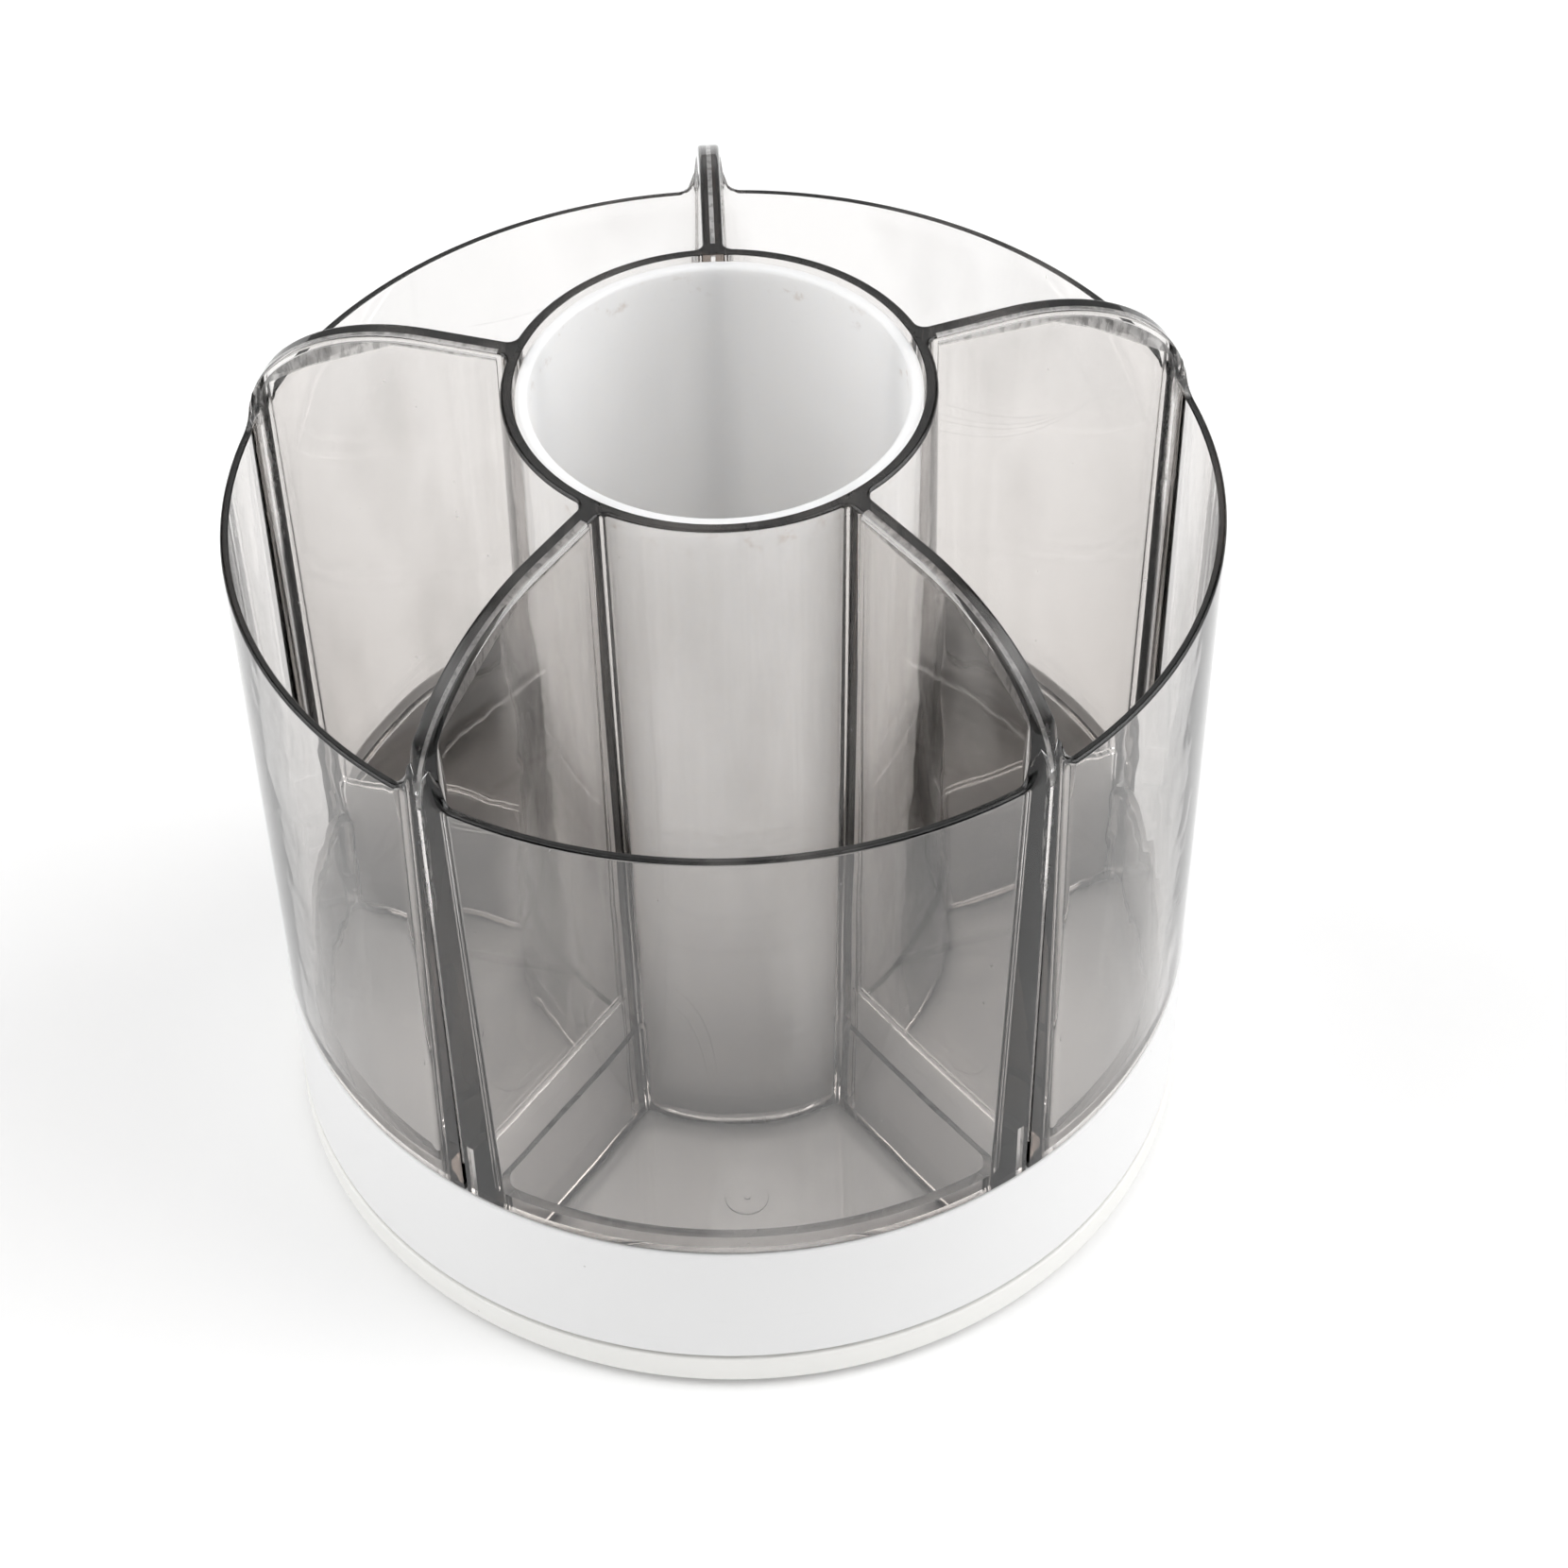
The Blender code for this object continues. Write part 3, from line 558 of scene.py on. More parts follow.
class Stock(Enum):
    """The finishes of the pieces, each with the record's material slot."""

    CLEAR = "smoky_clear", SmokyClear("smoky_clear_plastic", (0.97, 0.965, 0.96), 0.0)
    CUP = "white_cup", SatinPlastic(
        "white_cup_plastic", (0.93, 0.925, 0.92), 0.38, stain=0.4, stain_height=0.1205, depth=0.004,
    )
    TRAY = "white_tray", SatinPlastic(
        "white_tray_plastic", (0.81, 0.81, 0.81), 0.34, scuff_stretch=(0.3, 0.3, 4.0),
    )
    BASE = "white_base", SatinPlastic(
        "white_base_plastic", (0.86, 0.855, 0.83), 0.42, scuff_stretch=(0.4, 0.4, 3.0),
    )
    RACE = "race_steel", TurnedSteel("race_steel", (0.56, 0.56, 0.57), 0.3, coat=0.5)
    BALL = "ball_steel", TurnedSteel("ball_steel", (0.76, 0.76, 0.77), 0.1, ring_depth=0.0000003, coat=0.3)
    NYLON = "nylon", SatinPlastic("cage_nylon", (0.78, 0.77, 0.71), 0.5, grain=1500.0)
    ZINC = "zinc_steel", TurnedSteel("zinc_plated_steel", (0.66, 0.67, 0.7), 0.26, rings=5000.0)
    PAD = "pad_rubber", PadRubber("grey_pad_rubber", (0.075, 0.075, 0.078), 0.85)

    @property
    def slot(self) -> str:
        """The record's material slot."""
        return self.value[0]

    def material(self) -> Material:
        """The finish's material, made once."""
        finish = self.value[1]
        return bpy.data.materials.get(finish.name) or finish.make()


# Mesh tools


@dataclass(frozen=True)
class Corner:
    """A corner of a section: its distance from the axis, its height and the radius that rounds it."""

    radius: float
    height: float
    rounding: float = 0.0


def rounded(corners: Sequence[Corner], closed: bool, facets: int) -> list[Point]:
    """Points of a section whose corners are rounded.

    Args:
        corners: The corners in order.
        closed: Whether the section is a closed ring; an open one keeps its two ends sharp.
        facets: Facets of each rounding.

    Returns:
        The points in order.
    """
    points: list[Point] = []
    count = len(corners)
    for i, corner in enumerate(corners):
        here = Vector((corner.radius, corner.height))
        at_end = not closed and i in (0, count - 1)
        if at_end or corner.rounding <= 0.0:
            points.append(tuple(here))
            continue
        before, after = corners[i - 1], corners[(i + 1) % count]
        back = (Vector((before.radius, before.height)) - here).normalized()
        ahead = (Vector((after.radius, after.height)) - here).normalized()
        half = back.angle(ahead) / 2.0
        centre = here + (back + ahead).normalized() * (corner.rounding / math.sin(half))
        start = here + back * (corner.rounding / math.tan(half)) - centre
        end = here + ahead * (corner.rounding / math.tan(half)) - centre
        swing = start.angle_signed(end)
        for j in range(facets + 1):
            points.append(tuple(centre + Matrix.Rotation(-swing * j / facets, 2) @ start))
    return points


def spun(section: Sequence[Point], closed: bool, steps: int) -> BMesh:
    """A body spun round Z from a section.

    Args:
        section: (radius, height) points in order.
        closed: Whether the last point joins the first.
        steps: Facets round the axis.

    Returns:
        The closed body.
    """
    bm = bmesh.new()
    verts = [bm.verts.new((radius, 0.0, height)) for radius, height in section]
    edges = [bm.edges.new(pair) for pair in zip(verts, verts[1:])]
    if closed:
        edges.append(bm.edges.new((verts[-1], verts[0])))
    bmesh.ops.spin(
        bm, geom=verts + edges, cent=ORIGIN, axis=UP, angle=math.tau, steps=steps, use_merge=True,
        use_duplicate=False,
    )
    tidy(bm)
    return bm


def turned(corners: Sequence[Corner], closed: bool, facets: int, steps: int) -> BMesh:
    """A body spun round Z from a section with rounded corners.

    Args:
        corners: The section's corners in order.
        closed: Whether the section is a closed ring.
        facets: Facets of each rounding.
        steps: Facets round the axis.

    Returns:
        The closed body.
    """
    return spun(rounded(corners, closed, facets), closed, steps)


def tidy(bm: BMesh) -> None:
    """Merge doubles, then point every face outwards."""
    bmesh.ops.remove_doubles(bm, verts=bm.verts, dist=WELD)
    bmesh.ops.recalc_face_normals(bm, faces=bm.faces)


def rotate(bm: BMesh, angle: float, verts: Sequence[BMVert] | None = None) -> None:
    """Turn a body, or some of its points, about Z."""
    bmesh.ops.rotate(bm, verts=verts or bm.verts, cent=ORIGIN, matrix=Matrix.Rotation(angle, 3, "Z"))


def moved(bm: BMesh, centre: Point, height: float = 0.0) -> BMesh:
    """The body itself, moved from the origin to a point."""
    bmesh.ops.translate(bm, verts=bm.verts, vec=(*centre, height))
    return bm


def over(node: str) -> tuple[Point, float]:
    """Middle of a round node, seen from above, and its radius."""
    low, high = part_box(node)
    return ((high.x + low.x) / 2, (high.y + low.y) / 2), (high.x - low.x) / 2


def ease(bm: BMesh, edges: Sequence[BMEdge], width: float) -> None:
    """Round some edges of a body with three facets."""
    bmesh.ops.bevel(
        bm, geom=edges, offset=width, offset_type="OFFSET", segments=3, profile=0.5, affect="EDGES",
        material=-1,
    )


def extruded(outline: Iterable[Sequence[float]], move: Triple, shrink: float = 1.0) -> BMesh:
    """A body between a flat outline and a moved copy of it.

    Args:
        outline: The corners in order.
        move: The way from the outline to its copy.
        shrink: The copy's size across, about Z, as a share of the outline's.

    Returns:
        The closed body.
    """
    bm = bmesh.new()
    face = bm.faces.new([bm.verts.new(corner) for corner in outline])
    copy = bmesh.ops.extrude_face_region(bm, geom=[face])["geom"]
    far = [item for item in copy if isinstance(item, BMVert)]
    bmesh.ops.scale(bm, verts=far, vec=(shrink, shrink, 1.0))
    bmesh.ops.translate(bm, verts=far, vec=move)
    tidy(bm)
    return bm


def upright_plate(outline: Sequence[Point], width: float, angle: float) -> BMesh:
    """A plate in the half plane at an angle about Z, from a (radius, height) outline."""
    plate = extruded(((radius, -width / 2.0, height) for radius, height in outline), (0.0, width, 0.0))
    rotate(plate, angle)
    return plate


def merged(bodies: Iterable[BMesh], name: str) -> Mesh:
    """One mesh from several bodies.

    Args:
        bodies: The bodies, which are freed.
        name: Name of the new mesh.

    Returns:
        The mesh.
    """
    whole = bmesh.new()
    for body in bodies:
        part = bpy.data.meshes.new(name)
        body.to_mesh(part)
        body.free()
        whole.from_mesh(part)
        bpy.data.meshes.remove(part)
    mesh = bpy.data.meshes.new(name)
    whole.to_mesh(mesh)
    whole.free()
    return mesh


class Cut(Enum):
    """What a second body does to the first."""

    AWAY = "DIFFERENCE"
    ON = "UNION"


def carved(name: str, body: BMesh, steps: Sequence[tuple[Cut, list[BMesh]]]) -> Mesh:
    """A body after exact Booleans with other bodies.

    Args:
        name: Name of the new mesh.
        body: The body to change, which is freed.
        steps: Pairs of what to do and the bodies to do it with; those of one pair stay clear of each other.

    Returns:
        The finished mesh.
    """
    holder = bpy.data.objects.new(name + ".blank", merged([body], name + ".blank"))
    bpy.context.scene.collection.objects.link(holder)
    tools = []
    for i, (cut, bodies) in enumerate(steps):
        tool = bpy.data.objects.new(f"{name}.tool{i}", merged(bodies, f"{name}.tool{i}"))
        bpy.context.scene.collection.objects.link(tool)
        tools.append(tool)
        boolean = holder.modifiers.new(cut.name.lower(), "BOOLEAN")
        boolean.operation = cut.value
        boolean.solver = "EXACT"
        boolean.object = tool
    graph = bpy.context.evaluated_depsgraph_get()
    mesh = bpy.data.meshes.new_from_object(holder.evaluated_get(graph), depsgraph=graph)
    mesh.name = name
    for obj in (holder, *tools):
        blank = obj.data
        bpy.data.objects.remove(obj, do_unlink=True)
        bpy.data.meshes.remove(blank)
    return mesh


def add_piece(name: str, shape: Mesh | BMesh, stock: Stock, body: str, node: str) -> None:
    """Show a finished shape as a piece of the object.

    Args:
        name: The piece's name.
        shape: Its mesh or body, in the frame's own place.
        stock: Its finish.
        body: The moving body that it rides on.
        node: The node that it stands for.
    """
    mesh = shape if isinstance(shape, Mesh) else merged([shape], name)
    mesh.materials.clear()
    mesh.materials.append(stock.material())
    mesh.shade_smooth()
    mesh.set_sharp_from_angle(angle=SHARP)
    piece = bpy.data.objects.new(name, mesh)
    bpy.context.scene.collection.objects.link(piece)
    weighted = piece.modifiers.new("even_shading", "WEIGHTED_NORMAL")
    weighted.keep_sharp = True
    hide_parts(node)
    stock.slot
    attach(piece, body)
    LOG.info("%s: %d faces, on %s", name, len(mesh.polygons), body)


# Clear holder


class Stretch(Enum):
    """The stretches of a compartment's edge."""

    WALL = "outer wall"
    OUTER_CORNER = "corner between wall and divider"
    FACE = "divider face"
    INNER_CORNER = "corner between divider and tube"
    TUBE = "tube"


@dataclass(frozen=True)
class Station:
    """A place on a compartment's edge.

    A share runs from wall to divider, along the divider inwards and from divider to tube. On the wall and
    the tube it runs from -1 to 1, from one divider to the other.
    """

    stretch: Stretch
    share: float
    side: int


@dataclass
class ClearHolder:
    """The clear moulding: outer wall, compartments, slotted dividers and tube.

    One compartment with the halves of its two dividers is drawn about the X axis, then repeated round Z.
    """

    compartments: int = 5
    first_divider: float = math.radians(90)
    rim_height: float = 0.1050
    wall: float = 0.0011
    outer_draft: float = math.radians(0.4)
    shoulder_radius: float = 0.0388
    rim_blend: float = 0.0025
    rim_step: float = 0.0006
    swept_share: float = 0.45
    outer_round: float = 0.00045
    rim_lip: float = 0.00018
    inner_lip: float = 0.0005
    bore_round: float = 0.00015
    chamfer: float = 0.0002
    floor_top: float = 0.0140
    ledge_height: float = 0.0320
    ledge_step: float = 0.0005
    skirt_wall: float = 0.0013
    skirt_radius: float = 0.0614
    divider_top_width: float = 0.0027
    divider_draft: float = math.radians(1.3)
    pocket_outer_draft: float = math.radians(0.9)
    pocket_tube_draft: float = math.radians(0.6)
    outer_corner: float = 0.0022
    tube_corner: float = 0.0014
    floor_fillet: float = 0.0022
    tube_radius: float = 0.0272
    tube_wall: float = 0.0015
    slot_width: float = 0.0006
    slot_skin: float = 0.0015
    slot_from_tube: float = 0.0018
    fin_slot_width: float = 0.0016
    fin_end_from_rim: float = 0.0045
    band_top: float = 0.0293
    clearance: float = 0.0003
    overrun: float = 0.004
    mouth_rounds: int = 3
    wall_steps: int = 60
    corner_steps: int = 16
    face_steps: int = 30
    tube_steps: int = 30
    edge_steps: int = 4
    gate_circle: float = 0.0415
    gate_section: tuple[Triple, ...] = (
        (0.0, 0.0004, 0.0),
        (0.00045, 0.00035, 0.0001),
        (0.0006, 0.0001, 0.0001),
        (0.0020, 0.00006, 0.0004),
        (0.0026, 0.00045, 0.0003),
        (0.0034, -0.00015, 0.0002),
        (0.0, -0.00015, 0.0),
    )
    gate_facets: int = 3
    gate_steps: int = 24
    upright_limit: float = 0.3
    wave_offset: float = 0.05
    rim_radius: float = field(init=False)
    tube_height: float = field(init=False)
    underside: float = field(init=False)
    fin_top: float = field(init=False)
    half_angle: float = field(init=False)
    bore_radius: float = field(init=False)

    def __post_init__(self) -> None:
        """Take the overall sizes from the frame."""
        low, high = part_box("clear_holder")
        self.rim_radius = high.x
        self.tube_height = high.z
        self.underside = low.z
        self.fin_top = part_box("tray")[1].z
        self.half_angle = math.pi / self.compartments
        self.bore_radius = self.tube_radius - self.tube_wall

    def half_width(self, height: float) -> float:
        """Half the width of a divider at a height."""
        return self.divider_top_width / 2.0 + (self.tube_height - height) * math.tan(self.divider_draft)

    def crest(self, radius: float) -> float:
        """Height of a divider's top edge: level from the tube, then a quarter ellipse down to the rim."""
        foot = self.rim_height - self.outer_round
        reach = self.rim_radius - self.shoulder_radius
        share = min(max((radius - self.shoulder_radius) / reach, 0.0), 1.0)
        return foot + (self.tube_height - foot) * math.sqrt(1.0 - share * share)

    def top(self, point: Point, inner: bool) -> float:
        """Height of the moulding's top face over a point.

        Args:
            point: The point, within half a compartment of the X axis.
            inner: Whether it belongs to the tube or a divider and not to the rim.

        Returns:
            The height, with the outer and inner edges rounded.
        """
        radius = math.hypot(*point)
        crest = self.crest(radius)
        if inner:
            edge = self.bore_round
            past = min(max(self.bore_radius + edge - radius, 0.0), edge)
            return crest - edge + math.sqrt(edge * edge - past * past)
        edge = self.outer_round
        past = min(max(radius - (self.rim_radius - edge), 0.0), edge)
        rim = self.rim_height - edge + math.sqrt(edge * edge - past * past)
        off_divider = radius * math.sin(self.half_angle - abs(math.atan2(point[1], point[0])))
        past_divider = off_divider - self.half_width(crest)
        swept = 1.0 - smooth_step(past_divider / self.rim_blend)
        stepped = 1.0 - smooth_step(past_divider / self.rim_step)
        return rim + (crest - rim) * between(stepped, swept, self.swept_share)

    def stations(self) -> list[Station]:
        """Set out the stations round a compartment.

        Returns:
            The stations, counter-clockwise from the outer wall.
        """
        wall = [Station(Stretch.WALL, 2.0 * i / self.wall_steps - 1.0, 1) for i in range(1, self.wall_steps)]
        corner = [i / self.corner_steps for i in range(self.corner_steps + 1)]
        face = [1.0 - math.cos(QUARTER * i / self.face_steps) for i in range(1, self.face_steps)]
        tube = [Station(Stretch.TUBE, 1.0 - 2.0 * i / self.tube_steps, 1) for i in range(1, self.tube_steps)]
        upper = [Station(Stretch.OUTER_CORNER, share, 1) for share in corner]
        upper += [Station(Stretch.FACE, share, 1) for share in face]
        upper += [Station(Stretch.INNER_CORNER, share, 1) for share in corner]
        lower = [Station(s.stretch, s.share, -1) for s in reversed(upper)]
        return wall + upper + tube + lower

    def corner_frame(self, height: float, inset: float, in_skirt: bool) -> tuple[float, ...]:
        """Radii and angles of the walls and corner arcs of a compartment at a height.

        Args:
            height: Height of the section.
            inset: How far it is drawn in from the walls; negative goes into the plastic.
            in_skirt: Whether it lies below the ledge.

        Returns:
            Outer radius, inner radius, corner radii, corner centre radii and corner centre angles.
        """
        step = self.ledge_step if in_skirt else 0.0
        side = self.half_width(height) + step + inset
        if in_skirt:
            outer = self.skirt_radius - self.skirt_wall
            outer -= (self.ledge_height - height) * math.tan(self.outer_draft) + inset
        else:
            outer = self.rim_radius - self.wall
            outer -= (self.rim_height - height) * math.tan(self.pocket_outer_draft) + inset
        inner = self.tube_radius + (self.tube_height - height) * math.tan(self.pocket_tube_draft)
        inner += step + inset
        spread = max(-inset, 0.0)
        outer_corner = self.outer_corner + spread
        tube_corner = self.tube_corner + spread
        outer_centre = outer - outer_corner
        inner_centre = inner + tube_corner
        outer_at = self.half_angle - math.asin((side + outer_corner) / outer_centre)
        inner_at = self.half_angle - math.asin((side + tube_corner) / inner_centre)
        return outer, inner, outer_corner, tube_corner, outer_centre, inner_centre, outer_at, inner_at

    def on_wall(self, station: Station, height: float, inset: float = 0.0, in_skirt: bool = False) -> Point:
        """The point of a compartment's wall at a station and a height.

        Args:
            station: The station.
            height: The height.
            inset: How far to draw in from the wall; negative goes into the plastic.
            in_skirt: Whether the point lies below the ledge.

        Returns:
            The point.
        """
        outer, inner, outer_corner, tube_corner, outer_centre, inner_centre, outer_at, inner_at = (
            self.corner_frame(height, inset, in_skirt)
        )
        face_turn = self.half_angle + QUARTER
        share = station.share
        if station.stretch is Stretch.WALL:
            x, y = polar(outer, share * outer_at)
        elif station.stretch is Stretch.TUBE:
            x, y = polar(inner, share * inner_at)
        else:
            first, second = polar(outer_centre, outer_at), polar(inner_centre, inner_at)
            if station.stretch is Stretch.OUTER_CORNER:
                turn = polar(outer_corner, between(outer_at, face_turn, share))
                x, y = first[0] + turn[0], first[1] + turn[1]
            elif station.stretch is Stretch.INNER_CORNER:
                turn = polar(tube_corner, between(face_turn, math.pi + inner_at, share))
                x, y = second[0] + turn[0], second[1] + turn[1]
            else:
                start, end = polar(outer_corner, face_turn), polar(tube_corner, face_turn)
                x = between(first[0] + start[0], second[0] + end[0], share)
                y = between(first[1] + start[1], second[1] + end[1], share)
        return x, y * station.side

    def on_border(self, station: Station, back: float = 0.0) -> Point:
        """The point across the plastic from a station, on the outer face, the bore or a divider's middle.

        Args:
            station: The station.
            back: How far to stay back from that border.

        Returns:
            The point.
        """
        height = self.rim_height
        *_, outer_at, inner_at = self.corner_frame(height, 0.0, False)
        outer, bore, half = self.rim_radius - back, self.bore_radius + back, self.half_angle
        share, doubled = station.share, station.share * 2.0
        if station.stretch is Stretch.WALL:
            x, y = polar(outer, share * outer_at)
        elif station.stretch is Stretch.TUBE:
            x, y = polar(bore, share * inner_at)
        elif station.stretch is Stretch.OUTER_CORNER and share < 0.5:
            x, y = polar(outer, between(outer_at, half, doubled))
        elif station.stretch is Stretch.INNER_CORNER and share > 0.5:
            x, y = polar(bore, between(half, inner_at, doubled - 1.0))
        else:
            if station.stretch is Stretch.OUTER_CORNER:
                foot = self.along(Station(Stretch.OUTER_CORNER, 1.0, 1))
                eased = max(doubled - 1.0, 0.0) ** 2
                reach = between(self.rim_radius, foot, eased) - (back if eased == 0.0 else 0.0)
            elif station.stretch is Stretch.INNER_CORNER:
                foot = self.along(Station(Stretch.INNER_CORNER, 0.0, 1))
                reach = between(foot, self.bore_radius, min(doubled, 1.0)) + (back if share == 0.5 else 0.0)
            else:
                reach = self.along(Station(Stretch.FACE, share, 1))
            x = reach * math.cos(half) + back * math.sin(half)
            y = reach * math.sin(half) - back * math.cos(half)
        return x, y * station.side

    def along(self, station: Station) -> float:
        """How far out along its divider a station on the upper side lies."""
        x, y = self.on_wall(station, self.mouth(station))
        return x * math.cos(self.half_angle) + y * math.sin(self.half_angle)

    def is_inner(self, station: Station) -> bool:
        """Whether a station's edge follows the divider's crest or the tube and not the rim."""
        return station.stretch in (Stretch.FACE, Stretch.INNER_CORNER, Stretch.TUBE)

    def lip(self, station: Station) -> float:
        """How far a compartment's top edge is rounded at a station."""
        shares = {Stretch.WALL: 0.0, Stretch.OUTER_CORNER: smooth_step(station.share)}
        return between(self.rim_lip, self.inner_lip, shares.get(station.stretch, 1.0))

    def rim(self, station: Station) -> float:
        """How far the border across the plastic from a station is rounded."""
        return self.bore_round if self.in_bore(station) else self.outer_round

    def mouth(self, station: Station) -> float:
        """Height of a compartment's edge at a station, found in a few rounds because the walls lean."""
        height = self.tube_height
        for _ in range(self.mouth_rounds):
            height = self.top(self.on_wall(station, height), self.is_inner(station))
        return height

    def on_level(self, height: float, inset: float, in_skirt: bool, station: Station) -> Vector:
        """The point of a level ring at a station."""
        return Vector((*self.on_wall(station, height, inset, in_skirt), height))

    def on_side(self, share: float, station: Station) -> Vector:
        """The point a share of the way from the ledge up to the lip."""
        height = between(self.ledge_height, self.mouth(station) - self.lip(station), share)
        return self.on_level(height, 0.0, False, station)

    def on_lip(self, angle: float, station: Station) -> Vector:
        """The point of the rounded lip at an angle."""
        edge = self.lip(station)
        point = self.on_wall(station, self.mouth(station), -edge * (1.0 - math.cos(angle)))
        return Vector((*point, self.top(point, self.is_inner(station)) - edge * (1.0 - math.sin(angle))))

    def on_top(self, share: float, station: Station) -> Vector:
        """The point of the top face a share of the way from the lip to the border."""
        start = self.on_wall(station, self.mouth(station), -self.lip(station))
        end = self.on_border(station, self.rim(station))
        point = between(start[0], end[0], share), between(start[1], end[1], share)
        return Vector((*point, self.top(point, self.is_inner(station))))

    def on_edge(self, angle: float, station: Station) -> Vector:
        """The point of the border's rounded edge at an angle."""
        point = self.on_border(station, self.rim(station) * (1.0 - math.sin(angle)))
        return Vector((*point, self.top(point, self.is_inner(station))))

    def rings(self) -> list[Callable[[Station], Vector]]:
        """Set out the rings of a compartment and of the top face round it.

        Returns:
            For each ring, from the floor's edge to the border, the way from a station to its point.
        """
        fillet = self.floor_fillet
        angles = [QUARTER * i / self.edge_steps for i in range(self.edge_steps + 1)]
        rings = []
        for angle in angles:
            height = self.floor_top + fillet * (1.0 - math.cos(angle))
            rings.append(partial(self.on_level, height, fillet * (1.0 - math.sin(angle)), True))
        rings.append(partial(self.on_level, self.ledge_height - self.ledge_step, 0.0, True))
        rings += [partial(self.on_side, share) for share in (0.0, 0.5, 1.0)]
        rings += [partial(self.on_lip, angle) for angle in angles[1:]]
        rings += [partial(self.on_top, share) for share in (0.5, 1.0)]
        rings += [partial(self.on_edge, angle) for angle in angles[1:]]
        return rings

    def compartment(self) -> BMesh:
        """Draw one compartment with the plastic round it.

        Returns:
            The sector, open below and where it meets its neighbours.
        """
        stations = self.stations()
        rings = self.rings()
        bm = bmesh.new()
        number = bm.verts.layers.int.new("station")
        start = bmesh.ops.create_circle(bm, cap_ends=False, segments=len(stations), radius=self.tube_radius)
        loop = start["verts"]
        for i, vert in enumerate(loop):
            vert[number] = i
            vert.co = rings[0](stations[i])
        edges = list(bm.edges)
        bm.faces.new(loop)
        for ring in rings[1:]:
            edges = self.drawn(bm, edges, lambda i, r=ring: r(stations[i]))
        outer = [e for e in edges if all(self.on_outside(stations[v[number]]) for v in e.verts)]
        bore = [e for e in edges if all(self.in_bore(stations[v[number]]) for v in e.verts)]
        for radius, height in self.outside_drops():
            outer = self.drawn(bm, outer, lambda i, r=radius, h=height: self.dropped(stations[i], r, h))
        self.drawn(bm, bore, lambda i: self.dropped(stations[i], self.bore_radius, self.underside))
        return bm

    def drawn(self, bm: BMesh, edges: list[BMEdge], place: Callable[[int], Vector]) -> list[BMEdge]:
        """Extrude edges and move each new point to the place of its station.

        Args:
            bm: The mesh.
            edges: The edges to extrude.
            place: The new place for a station's number.

        Returns:
            The new edges, along the far side.
        """
        number = bm.verts.layers.int["station"]
        made = bmesh.ops.extrude_edge_only(bm, edges=edges)["geom"]
        verts = {item for item in made if isinstance(item, BMVert)}
        for vert in verts:
            vert.co = place(vert[number])
        return [item for item in made if isinstance(item, BMEdge) and set(item.verts) <= verts]

    def on_outside(self, station: Station) -> bool:
        """Whether a station's border point lies on the outer face."""
        return station.stretch is Stretch.WALL or (
            station.stretch is Stretch.OUTER_CORNER and station.share <= 0.5
        )

    def in_bore(self, station: Station) -> bool:
        """Whether a station's border point lies on the bore."""
        return station.stretch is Stretch.TUBE or (
            station.stretch is Stretch.INNER_CORNER and station.share >= 0.5
        )

    def outside_drops(self) -> list[Point]:
        """List the rings down the outside, under the rim's rounded edge.

        Returns:
            Radius and height of each ring.
        """
        shoulder = self.band_top + self.clearance
        fall = math.tan(self.outer_draft)
        chamfer = self.chamfer
        low_radius = self.rim_radius - (self.rim_height - shoulder) * fall
        return [
            (low_radius, shoulder + chamfer),
            (low_radius - chamfer, shoulder),
            (self.skirt_radius, shoulder),
            (self.skirt_radius, self.underside + chamfer),
            (self.skirt_radius - chamfer, self.underside),
        ]

    def dropped(self, station: Station, radius: float, height: float) -> Vector:
        """A station's border point moved to another radius and height."""
        x, y = self.on_border(station)
        scale = radius / math.hypot(x, y)
        return Vector((x * scale, y * scale, height))

    def blank(self) -> BMesh:
        """Join the sectors.

        Returns:
            The whole moulding without its slots.
        """
        bm = self.compartment()
        rotate(bm, self.first_divider + self.half_angle)
        sector = list(bm.verts) + list(bm.edges) + list(bm.faces)
        for i in range(1, self.compartments):
            copy = bmesh.ops.duplicate(bm, geom=sector)["geom"]
            rotate(bm, math.tau * i / self.compartments, [item for item in copy if isinstance(item, BMVert)])
        bmesh.ops.remove_doubles(bm, verts=bm.verts, dist=WELD)
        bmesh.ops.bridge_loops(bm, edges=[e for e in bm.edges if e.is_boundary])
        tidy(bm)
        return bm

    def slots(self) -> list[BMesh]:
        """Make the cutters of the dividers' narrow slots.

        Returns:
            One plate for each divider, which runs out below and outside.
        """
        inner = self.tube_radius + self.slot_from_tube
        outside, below = self.rim_radius + self.overrun, self.underside - self.overrun
        reach = self.rim_radius - self.shoulder_radius
        angles = [QUARTER * i / self.face_steps for i in range(self.face_steps + 1)]
        radii = [self.shoulder_radius + reach * math.cos(angle) for angle in angles]
        ceiling = [(radius, self.crest(radius) - self.slot_skin) for radius in radii]
        outline = [
            (inner, below), (outside, below), (outside, ceiling[0][1]), *ceiling,
            (inner, self.tube_height - self.slot_skin),
        ]
        return [upright_plate(outline, self.slot_width, angle) for angle in self.divider_angles()]

    def fin_rooms(self) -> list[BMesh]:
        """Make the cutters of the wider foot of each slot, which the tray's fin enters.

        Returns:
            One plate for each divider.
        """
        room = self.clearance * 2.0
        low, high = self.underside - self.overrun, self.fin_top + room
        inner = self.tube_radius + (self.tube_height - self.underside) * math.tan(self.pocket_tube_draft)
        inner += self.slot_from_tube - room
        outer = self.rim_radius - self.fin_end_from_rim + room
        outline = [(inner, low), (outer, low), (outer, high), (inner, high)]
        return [upright_plate(outline, self.fin_slot_width, angle) for angle in self.divider_angles()]

